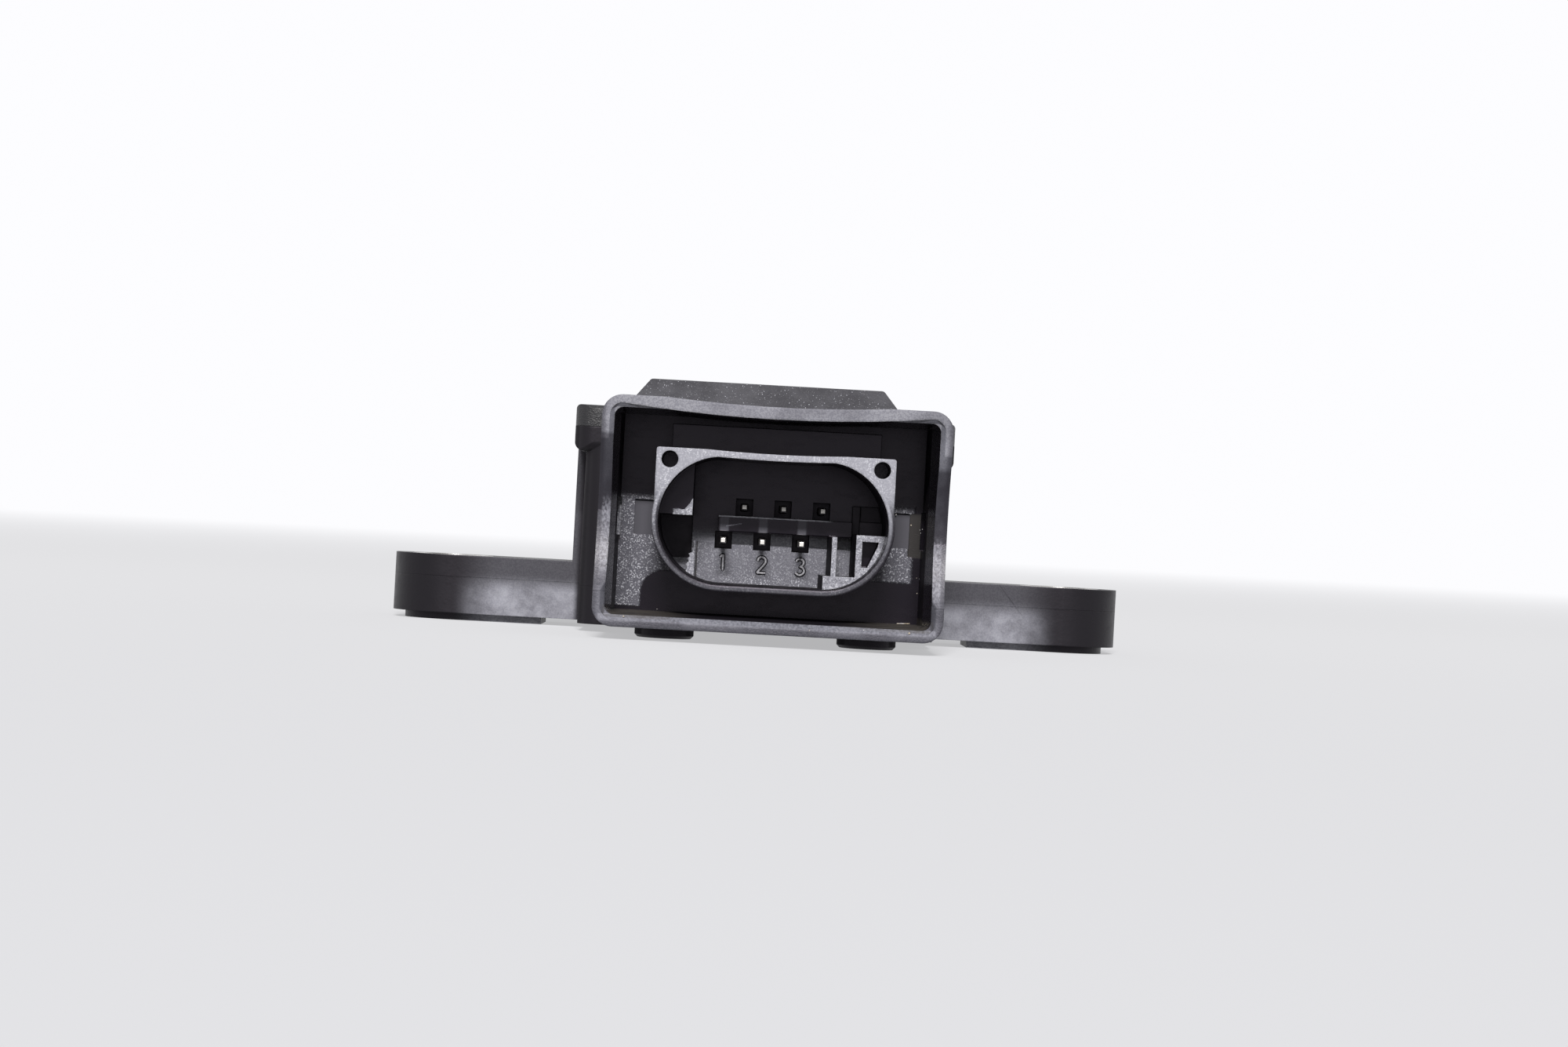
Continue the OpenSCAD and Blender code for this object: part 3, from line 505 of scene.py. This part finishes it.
        # The windows, and painted light on the left wall
        base = self.mix(self.window | 0.7 * self.lit_left_wall, base, WINDOW_AND_LIT_WALL_GREY)
        # Painted highlight and painted reflections on the bar, and its scratch
        base = self.mix(self.bar_highlights_and_scratch(), base, PALE)
        # Painted shade
        return self.mix(self.painted_shade(), base, POLISHED)

    def painted_light_and_rubs(self):
        """Painted light: the collar's upper part, the ears' lower halves, the lit faces of the steps,
        and a strip across the pin floor in the bar's shadow; with it the rubbed parts of the rim and
        the painted highlight along its lower inner edge."""
        # Painted highlight on the ears' lower halves
        ear_highlight = self.ear_sheen_and_smear * self.low_half * self.step(self.cloud, 0.30, 0.75)
        # A strip of painted light across the pin floor, in the bar's shadow
        lit_band = self.pin_floor * self.near(self.z, *LIT_BAND_Z)
        # The steps' lit faces, painted pale
        lit_steps = self.steps * self.step(self.noise(0.2, detail=1.0), 0.35, 0.6)
        pale = 0.75 * self.collar * self.high | 0.8 * ear_highlight
        return pale | (0.4 * lit_band | 0.7 * lit_steps) | self.rim_rubs_and_highlight

    def grain_glints(self):
        """Painted glints on single grain spots, in patches, weaker on the upper part of the pin
        floor.
        """
        where = (self.grained | self.collar * self.high) * (1 - self.mouth)
        patches = self.step(self.noise(1.9, detail=2.0), 0.42, 0.58)
        patches = (patches | self.steps) | 0.7 * self.back
        calm = 0.65 * self.pin_floor * self.step(self.z, *CALM_FLOOR_Z)
        return glint_spots(self, 0.56, 0.68) * where * (0.3 + 0.7 * patches) * (1 - calm)

    def dust_film(self):
        """A warm film on the bottom wall of the shroud, towards its corners."""
        corners = self.step(self.from_middle, *DUSTY_CORNERS) * self.step(self.cloud, 0.2, 0.6)
        return self.spot(DUSTY_BOTTOM) * (1 - self.front) * corners

    def bar_highlights_and_scratch(self):
        """Painted highlight along the bar's upper edge, a painted reflection of each lower pin's lit
        top above it, and a scratch.
        """
        pin_reflections = sum(self.near(self.x, pin_x, 0.32, 0.25) for pin_x in LOW_PIN_X)
        scratch = self.bar * self.stroke(*BAR_SCRATCH, 0.03, 0.06)
        return 0.30 * pin_reflections * self.bar | (self.bar_edge_highlight | 0.8 * scratch)

    def painted_shade(self):
        """Painted shade: the left rib's shadow beside it on the pin floor, and the dark inside of the
        slot in the back wall.
        """
        rib_shadow = self.near(self.x, *RIB_SHADOW_X) * self.fall(self.z, *RIB_SHADOW_TOP_Z)
        return self.pin_floor * rib_shadow | self.back * self.round_patch(*SLOT_PATCH)

    def roughness(self):
        """Lowest on the polished faces, higher where they are grained, hazy, matt or outside."""
        wisps = self.noise(1.1, detail=3.0, roughness=0.6, stretch=(0.6, 1, 1.4))
        soft = 0.05 * self.step(wisps, 0.45, 0.7) + 0.05 * self.ears * self.smear
        rough = 0.24 + 0.18 * self.grained + 0.14 * self.haze_and_sheen + 0.2 * self.window + soft
        return rough + 0.4 * self.matt_walls() + 0.14 * self.outside * (1 - self.grained)

    def matt_walls(self):
        """The side walls of the cavity, the bottom wall of the shroud and the collar's bore."""
        sides = self.facing("X", 1) | self.facing("X", -1)
        walls = sides * self.near(self.y, *MATT_SIDES_Y)
        walls = walls | self.facing("Z", 1) * self.spot(MATT_BOTTOM)
        return walls | self.near(self.off_ring, *COLLAR_BORE) * self.near(self.y, *BORE_Y)

    def sheen(self):
        """A bright skin on the hazy areas, broken up by the grain."""
        skin = (self.haze_and_sheen | self.bar_edge_highlight) | 0.3 * self.grained
        return skin * (0.45 + 0.55 * glint_spots(self, 0.38, 0.62))

    def edges(self):
        """Normals of rounded edges, wider at the mouth and the collar, none in inner corners."""
        y = self.y
        corners = self.near(y, BACK_WALL_Y, 0.45, 0.1) | self.near(y, PIN_FLOOR_Y, 0.4, 0.1)
        wider = self.near(y, COLLAR_Y, 0.4, 0.1) | self.near(y, MOUTH_Y, 0.5, 0.1)
        rounded = self.turn(wider, self.soft_edges(0.15), self.soft_edges(0.32))
        return self.turn(corners, rounded, self.node("NewGeometry", output="Normal"))

    def relief(self):
        """The grain, the mould's seam, a scratch, and the marks of the ejectors and the gate."""
        seam = self.mouth | self.step(self.from_middle, *SEAM_SIDE)
        seam = seam * self.near(self.z, SEAM_Z, 0.03, 0.03)
        scratch = self.ears * self.front * self.stroke(*EAR_SCRATCH, 0.05, 0.12)
        ejectors = sum(self.ring("x", "y", *place, EJECTOR_RADIUS) for place in EJECTOR_MARKS)
        ejectors = ejectors * self.fall(self.z, *UNDERSIDE_Z)
        gate = sum(self.ring("x", "z", *GATE_MARK, radius) for radius in GATE_RADII)
        gate = gate * self.step(self.y, *REAR_Y)
        relief = grain_relief(self) * self.grained + 0.12 * self.cloud * self.ears
        relief = relief + 0.1 * self.noise(0.3) * self.outside
        return relief - 0.5 * seam - 0.4 * scratch - 0.5 * ejectors - 0.6 * gate


def housing_plastic():
    finish = HousingFinish()
    return finish.close({
        "Base Color": finish.colour(),
        "Roughness": finish.roughness(),
        "Normal": finish.bump(finish.relief(), 0.11, below=finish.edges()),
        "IOR": 1.5,
        "Specular IOR Level": 0.25,
        "Specular Tint": (0.95, 0.87, 1.0, 1),
        "Coat Weight": finish.sheen(),
        "Coat Roughness": 0.38,
        "Coat IOR": 1.9,
    })


# The lid's plastic, the numbers with their painted light and shade, and the dust

LID_LEFT_END = (0.018, 0.0175, 0.020, 1)
LID_DARK = (0.042, 0.041, 0.048, 1)
LID_LIGHT = (0.072, 0.071, 0.081, 1)
NUMBER_DARK = (0.40, 0.40, 0.43, 1)
NUMBER_LIGHT = (0.72, 0.72, 0.76, 1)
WHITE_DUST = (0.80, 0.79, 0.80, 1)
BROWN_DUST = (0.72, 0.62, 0.46, 1)
LID_LEFT_END_X = (-17.5, -16)


def lid_plastic():
    """Grained plastic, hazy in smears, with a few painted glints, darker at its left end."""
    finish = Finish("lid plastic")
    cloud = finish.noise(4.0, detail=4.0, roughness=0.6)
    smear = finish.step(cloud, 0.4, 0.65)
    rest = finish.step(finish.x, *LID_LEFT_END_X)
    base = finish.mix(smear, LID_DARK, LID_LIGHT)
    base = finish.mix(rest, LID_LEFT_END, base)
    base = finish.mix(rest * glint_spots(finish, 0.69, 0.76), base, GLINT_GREY)
    return finish.close({
        "Base Color": base,
        "Roughness": 0.36 + 0.1 * smear,
        "Normal": finish.bump(grain_relief(finish), 0.12, below=finish.soft_edges(0.14)),
        "IOR": 1.5,
        "Specular IOR Level": 0.4,
    })


def number_plastic():
    """The moulded numbers, painted pale so that they read as lit in the pins' shade, with a painted
    shadow as a dark foot around them.
    """
    finish = Finish("number plastic with painted light and shade")
    grain = finish.noise(0.15, detail=2.0)
    lit_tone = finish.mix(finish.step(grain, 0.35, 0.65), NUMBER_DARK, NUMBER_LIGHT)
    # Painted shadow: the low foot around each number is dark
    foot = finish.step(finish.y, PIN_FLOOR_Y - 0.07, PIN_FLOOR_Y - 0.03)
    return finish.close({
        "Base Color": finish.mix(foot, lit_tone, POLISHED),
        "Roughness": 0.34 + 0.1 * grain,
        "Normal": finish.bump(grain, 0.01),
    })


def specks_material():
    """Burrs and dust that catch the light."""
    finish = Finish("burrs and dust")
    tone = finish.noise(0.8, detail=1.0)
    return finish.close({
        "Base Color": finish.mix(finish.step(tone, 0.4, 0.6), WHITE_DUST, BROWN_DUST),
        "Roughness": 0.3 + 0.1 * tone,
    })


# Metals and the parts on the board

CLEAN_METAL = (0.62, 0.60, 0.57, 1)
STAINED_METAL = (0.48, 0.47, 0.46, 1)
TURNING_PITCH = 0.11


def turned_steel():
    """Turned bushes, with fine rings round each bore."""
    finish = Finish("bush steel")
    aside = abs(finish.x) - HOLE_X
    out = (aside * aside + finish.y * finish.y).math("SQRT")
    rings = (out * (2 * math.pi / TURNING_PITCH)).math("SINE")
    stain = finish.noise(1.4, detail=3.0)
    return finish.close({
        "Base Color": finish.mix(stain, CLEAN_METAL, STAINED_METAL),
        "Roughness": 0.24 + 0.2 * stain,
        "Normal": finish.bump(rings + 2 * stain, 0.006, below=finish.soft_edges(0.1)),
        "Metallic": 1.0,
    })


def plain_metal(name, colour, rough):
    finish = Finish(name)
    grain = finish.noise(0.3, detail=3.0)
    return finish.close({
        "Base Color": colour,
        "Roughness": rough + 0.12 * grain,
        "Normal": finish.bump(grain, 0.01, below=finish.soft_edges(0.06)),
        "Metallic": 1.0,
    })


def plain_body(name, colour, rough):
    finish = Finish(name)
    grain = finish.noise(0.2, detail=2.0)
    darker = tuple(0.7 * c for c in colour[:3]) + (1,)
    return finish.close({
        "Base Color": finish.mix(grain, darker, colour),
        "Roughness": rough + 0.1 * grain,
        "Normal": finish.bump(grain, 0.01, below=finish.soft_edges(0.06)),
    })


# The CAD nodes

CHIPS = (
    "accelerometer", "signal_processor", "voltage_regulator", "bus_transceiver", "protection_diode",
)


def dress(node, material):
    """Gives a CAD node its finish."""
    thing = nodes[node]
    thing.data.materials.clear()
    thing.data.materials.append(material)


def dress_all(housing):
    dress("housing", housing)
    dress("lid", lid_plastic())
    tin = plain_metal("tinned brass", CLEAN_METAL, 0.30)
    # Painted shade: the upper pins lie in the collar's shadow, so their metal is made darker
    shaded_tin = plain_metal("tinned brass in painted shade", (0.17, 0.165, 0.16, 1), 0.36)
    for n in range(1, 4):
        dress(f"pin_{n}", tin)
        dress(f"pin_{n + 3}", shaded_tin)
    steel = turned_steel()
    dress("left_bush", steel)
    dress("right_bush", steel)
    dress("lid_seal", plain_body("seal rubber", (0.03, 0.03, 0.03, 1), 0.7))
    dress("circuit_board", plain_body("solder mask", (0.01, 0.12, 0.05, 1), 0.4))
    dress("board_screws", plain_metal("screw steel", (0.5, 0.5, 0.5, 1), 0.3))
    chip = plain_body("moulded chip", (0.03, 0.03, 0.032, 1), 0.55)
    for name in CHIPS:
        dress(name, chip)
    dress("crystal", plain_metal("can metal", (0.8, 0.8, 0.8, 1), 0.3))
    dress("buffer_capacitors", plain_metal("capacitor can", (0.8, 0.8, 0.82, 1), 0.35))
    dress("ceramic_capacitors", plain_body("ceramic", (0.45, 0.33, 0.2, 1), 0.5))
    dress("chip_resistors", plain_body("resistor film", (0.02, 0.02, 0.02, 1), 0.4))
    dress("bus_choke", plain_body("ferrite", (0.08, 0.075, 0.07, 1), 0.6))


# Pieces that only the scene has

def add_piece(name, shape, material):
    """Makes a piece from a bmesh in millimetres and lets it ride on the part."""
    mesh = bpy.data.meshes.new(name)
    bmesh.ops.scale(shape, vec=(MM, MM, MM), verts=shape.verts)
    bmesh.ops.recalc_face_normals(shape, faces=shape.faces)
    shape.to_mesh(mesh)
    shape.free()
    mesh.materials.append(material)
    piece = bpy.data.objects.new(name, mesh)
    bpy.context.scene.collection.objects.link(piece)
    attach(piece, "root")
    return piece


def smooth_path(points, steps):
    """Points along a smooth curve through the given points."""
    path = []
    last = len(points) - 1
    for i in range(last):
        before, start, end, after = (
            Vector(points[min(max(i + k, 0), last)]) for k in (-1, 0, 1, 2)
        )
        for s in range(steps):
            t = s / steps
            path.append(0.5 * (
                2 * start + (end - before) * t
                + (2 * before - 5 * start + 4 * end - after) * t * t
                + (3 * start - before - 3 * end + after) * t ** 3
            ))
    path.append(Vector(points[last]))
    return path


# Section of a raised number: across and up, as shares of its half width and its height
RIDGE_SECTION = (
    (-1.9, -0.05), (-1.85, 0.06), (-1.0, 0.08), (-0.9, 0.5), (-0.5, 0.9), (0, 1),
    (0.5, 0.9), (0.9, 0.5), (1.0, 0.08), (1.85, 0.06), (1.9, -0.05),
)
RIDGE_END_TAPER = 0.45


def add_ridge(shape, path, half, height, floor_y):
    """Adds a rounded ridge that stands on a wall facing the plug. The path is in x and z."""
    rings = []
    for i, point in enumerate(path):
        run = (path[min(i + 1, len(path) - 1)] - path[max(i - 1, 0)]).normalized()
        side = Vector((-run.y, run.x))
        taper = 1 if 0 < i < len(path) - 1 else RIDGE_END_TAPER
        rings.append([
            shape.verts.new((
                point.x + side.x * a * half * taper,
                floor_y - h * height * (taper if h > 0 else 1),
                point.y + side.y * a * half * taper,
            ))
            for a, h in RIDGE_SECTION
        ])
    for first, second in zip(rings, rings[1:]):
        for k in range(len(RIDGE_SECTION) - 1):
            shape.faces.new((first[k], first[k + 1], second[k + 1], second[k]))
    for ring in (rings[0], rings[-1]):
        shape.faces.new(ring)


# Middle lines of the numbers, in x and z around the middle of each
NUMERALS = {
    1: [(-0.30, 0.66), (-0.12, 0.88), (0.04, 0.93), (0.05, 0.5), (0.05, -0.93)],
    2: [
        (-0.48, 0.42), (-0.40, 0.74), (-0.12, 0.93), (0.22, 0.86), (0.44, 0.58), (0.36, 0.22),
        (0.06, -0.20), (-0.28, -0.60), (-0.50, -0.90), (-0.30, -0.93), (0.10, -0.93),
        (0.50, -0.93),
    ],
    3: [
        (-0.48, 0.60), (-0.30, 0.86), (0.02, 0.93), (0.34, 0.80), (0.42, 0.48), (0.26, 0.16),
        (0.04, 0.06), (0.30, -0.06), (0.50, -0.34), (0.44, -0.68), (0.16, -0.92),
        (-0.20, -0.92), (-0.50, -0.66),
    ],
}
NUMERAL_Z = 7.78
NUMERAL_SCALE = 0.88
NUMERAL_X = (-3.72, 0.36, 4.32)
NUMERAL_HALF_WIDTH = 0.115
NUMERAL_HEIGHT = 0.17


def make_numerals(material):
    """The pin numbers, raised on the pin floor below the lower row."""
    for (number, points), x in zip(NUMERALS.items(), NUMERAL_X):
        shape = bmesh.new()
        path = [NUMERAL_SCALE * p + Vector((x, NUMERAL_Z)) for p in smooth_path(points, 4)]
        add_ridge(shape, path, NUMERAL_HALF_WIDTH, NUMERAL_HEIGHT, PIN_FLOOR_Y)
        piece = add_piece(f"pin_number_{number}", shape, material)
        for face in piece.data.polygons:
            face.use_smooth = True


# Outline of the left rib, in x and z
LEFT_RIB = (
    (-6.6, 6.1), (-6.6, 10.0), (-6.82, 9.9), (-6.76, 9.3), (-6.96, 9.1), (-6.88, 8.8),
    (-7.24, 8.6), (-7.1, 8.3), (-7.34, 8.1), (-7.22, 7.8), (-7.46, 7.5), (-7.36, 7.1),
    (-7.5, 6.6),
)
LEFT_RIB_EDGE = 0.06
SUNK = 0.1


def make_left_rib(material):
    """The thin rib at the left of the pin floor, with the torn edge that its slide left."""
    shape = bmesh.new()
    top = shape.faces.new([shape.verts.new((x, BAR_Y, z)) for x, z in LEFT_RIB])
    pulled = bmesh.ops.extrude_face_region(shape, geom=[top])
    for vert in pulled["geom"]:
        if isinstance(vert, bmesh.types.BMVert):
            vert.co.y = PIN_FLOOR_Y + SUNK
    front = [e for e in shape.edges if all(abs(v.co.y - BAR_Y) < 0.01 for v in e.verts)]
    bmesh.ops.bevel(shape, geom=front, offset=LEFT_RIB_EDGE, segments=2, affect="EDGES")
    add_piece("left_rib", shape, material)


def add_lump(shape, at, size, draw):
    """Adds a small uneven lump: a speck of dust, or a torn end of a burr."""
    made = bmesh.ops.create_icosphere(shape, subdivisions=1, radius=1.0)
    for vert in made["verts"]:
        swell = 0.75 + 0.5 * draw.random()
        vert.co = Vector(at) + Vector(c * s / 2 * swell for c, s in zip(vert.co, size))


# The burr at the right end of the back wall, in x and z
BURR_TOP = (16.80, 8.95)
BURR_BOTTOM = (16.74, 3.15)
BURR_COUNT = 60
BURR_LUMPS_X = 16.76

# Height and size of its thicker lumps
BURR_LUMPS = (
    (7.01, 0.24), (5.88, 0.21), (4.52, 0.2), (3.47, 0.21), (3.15, 0.25), (6.4, 0.15),
    (5.1, 0.14), (4.0, 0.16),
)

# Specks on the back wall and on the rim: x, z and size
WALL_SPECKS = (
    (16.55, 7.3, 0.08), (16.25, 7.38, 0.07), (16.4, 5.8, 0.12), (16.59, 4.02, 0.12),
    (15.4, 12.75, 0.16), (16.35, 12.3, 0.09), (16.6, 12.4, 0.10), (16.45, 12.0, 0.07),
    (13.8, 13.75, 0.14), (16.9, 9.9, 0.12), (-14.55, 13.95, 0.13), (-14.3, 14.6, 0.08),
    (-14.85, 6.24, 0.1), (-14.3, 3.2, 0.13), (-14.1, 3.05, 0.1), (-10.13, 2.75, 0.1),
)
RIM_SPECKS = ((14.97, 2.15, 0.2), (-13.0, 2.3, 0.16), (10.5, 2.2, 0.12), (5.2, 1.9, 0.1))

# Specks on the bottom wall of the shroud: x, y and size
FLOOR_SPECKS = (
    (13.5, -24.0, 0.16), (13.3, -26.0, 0.12), (14.6, -23.2, 0.08), (12.2, -24.6, 0.1),
    (16.2, -30.5, 0.1),
)

# The row of flat lumps at the foot of the back wall, in x and z
GLINT_LEFT = (14.55, 2.62)
GLINT_RIGHT = (15.75, 2.66)
GLINT_COUNT = 9
GLINT_SIZE = (0.22, 0.1, 0.08)


def spread(first, last, count):
    """Evenly spread points from first to last, both included."""
    for i in range(count):
        yield [a + (b - a) * i / (count - 1) for a, b in zip(first, last)]


def make_burr(material, draw):
    """The burr along the right end of the back wall."""
    shape = bmesh.new()
    for x, z in spread(BURR_TOP, BURR_BOTTOM, BURR_COUNT):
        x += 0.05 * (draw.random() - 0.5)
        thick = 0.07 + 0.06 * draw.random()
        size = (thick, thick, 0.07 + 0.1 * draw.random())
        add_lump(shape, (x, BACK_WALL_Y - 0.03, z), size, draw)
    for z, size in BURR_LUMPS:
        add_lump(shape, (BURR_LUMPS_X, BACK_WALL_Y - 0.08, z), (size, size, size), draw)
    add_piece("burr_line", shape, material)


def make_specks(material, draw):
    """Specks on the back wall, the bottom wall and the rim, and the glint at the wall's foot."""
    shape = bmesh.new()
    for x, z, size in WALL_SPECKS:
        add_lump(shape, (x, BACK_WALL_Y - 0.2 * size, z), (size, size, size), draw)
    for x, y, size in FLOOR_SPECKS:
        add_lump(shape, (x, y, SHROUD_FLOOR_Z + 0.3 * size), (size, size, size), draw)
    for x, z, size in RIM_SPECKS:
        add_lump(shape, (x, MOUTH_Y, z), (size, size, size), draw)
    for x, z in spread(GLINT_LEFT, GLINT_RIGHT, GLINT_COUNT):
        add_lump(shape, (x, BACK_WALL_Y - 0.05, z), GLINT_SIZE, draw)
    add_piece("dust_specks", shape, material)


# Light and floor

KEY_FROM = Vector((-0.033, -1, 0.54))
KEY_AWAY = 3.0
KEY_SIZE = (0.70, 0.13)
KEY_LEVEL = 1.05
KEY_COLOUR = (1.0, 0.98, 0.97)
SKY_LEVEL = 0.2
WHITE = (0.98, 0.98, 1.0, 1)
FLOOR_RADIUS = 6.0
FLOOR_DROP = 0.02 * MM
FLOOR_NEAR = (0.66, 0.67, 0.70, 1)
FLOOR_FAR = (0.93, 0.94, 0.96, 1)
FLOOR_UNSEEN = (0.25, 0.25, 0.26, 1)
FLOOR_GLOW = 0.46

# Where the floor turns from near to far, and how far away it turns white
FLOOR_FADE_Y = (-350, 200)
FLOOR_WHITENS = (60, 1500)


def make_light():
    """A long lamp behind and above the camera, and an even pale surrounding."""
    data = bpy.data.lights.new("key lamp", "AREA")
    data.shape = "RECTANGLE"
    data.size, data.size_y = KEY_SIZE
    data.energy = KEY_LEVEL * (math.pi * KEY_AWAY) ** 2
    data.color = KEY_COLOUR
    lamp = bpy.data.objects.new("key lamp", data)
    lamp.location = KEY_FROM.normalized() * KEY_AWAY
    lamp.rotation_euler = KEY_FROM.to_track_quat("Z", "Y").to_euler()
    bpy.context.scene.collection.objects.link(lamp)
    world = bpy.data.worlds.new("studio")
    bpy.context.scene.world = world
    world.use_nodes = True
    tree = world.node_tree
    tree.nodes.clear()
    level = SKY_LEVEL + (1 - SKY_LEVEL) * seen_directly(tree)
    back = add_node(tree, "Background", sockets={"Color": WHITE, "Strength": level})
    add_node(tree, "OutputWorld", sockets={"Surface": back})


def floor_finish():
    """Matt and pale near the object, white far away. Only what is seen of it is so bright."""
    finish = Finish("pale floor")
    away = finish.node("VectorMath", {"operation": "LENGTH"}, {0: finish.place}, output="Value")
    seen = seen_directly(finish.tree)
    pale = finish.mix(finish.step(finish.y, *FLOOR_FADE_Y), FLOOR_NEAR, FLOOR_FAR)
    pale = finish.mix(seen, FLOOR_UNSEEN, pale)
    matt = finish.node("BsdfDiffuse", sockets={"Color": pale})
    white = finish.node("Emission", sockets={"Color": WHITE, "Strength": 1.0})
    share = FLOOR_GLOW + (1 - FLOOR_GLOW) * finish.step(away, *FLOOR_WHITENS)
    return finish.end(finish.node("MixShader", sockets={0: share * seen, 1: matt, 2: white}))


def make_floor():
    mesh = bpy.data.meshes.new("floor")
    shape = bmesh.new()
    bmesh.ops.create_circle(shape, cap_ends=True, segments=96, radius=FLOOR_RADIUS)
    shape.to_mesh(mesh)
    shape.free()
    mesh.materials.append(floor_finish())
    floor = bpy.data.objects.new("floor", mesh)
    floor.location.z = -FLOOR_DROP
    bpy.context.scene.collection.objects.link(floor)


make_camera()
make_light()
make_floor()
housing = housing_plastic()
dress_all(housing)
make_numerals(number_plastic())
make_left_rib(housing)
dust = specks_material()
draw = random.Random(7)
make_burr(dust, draw)
make_specks(dust, draw)

bpy.context.scene.view_settings.view_transform = "Standard"
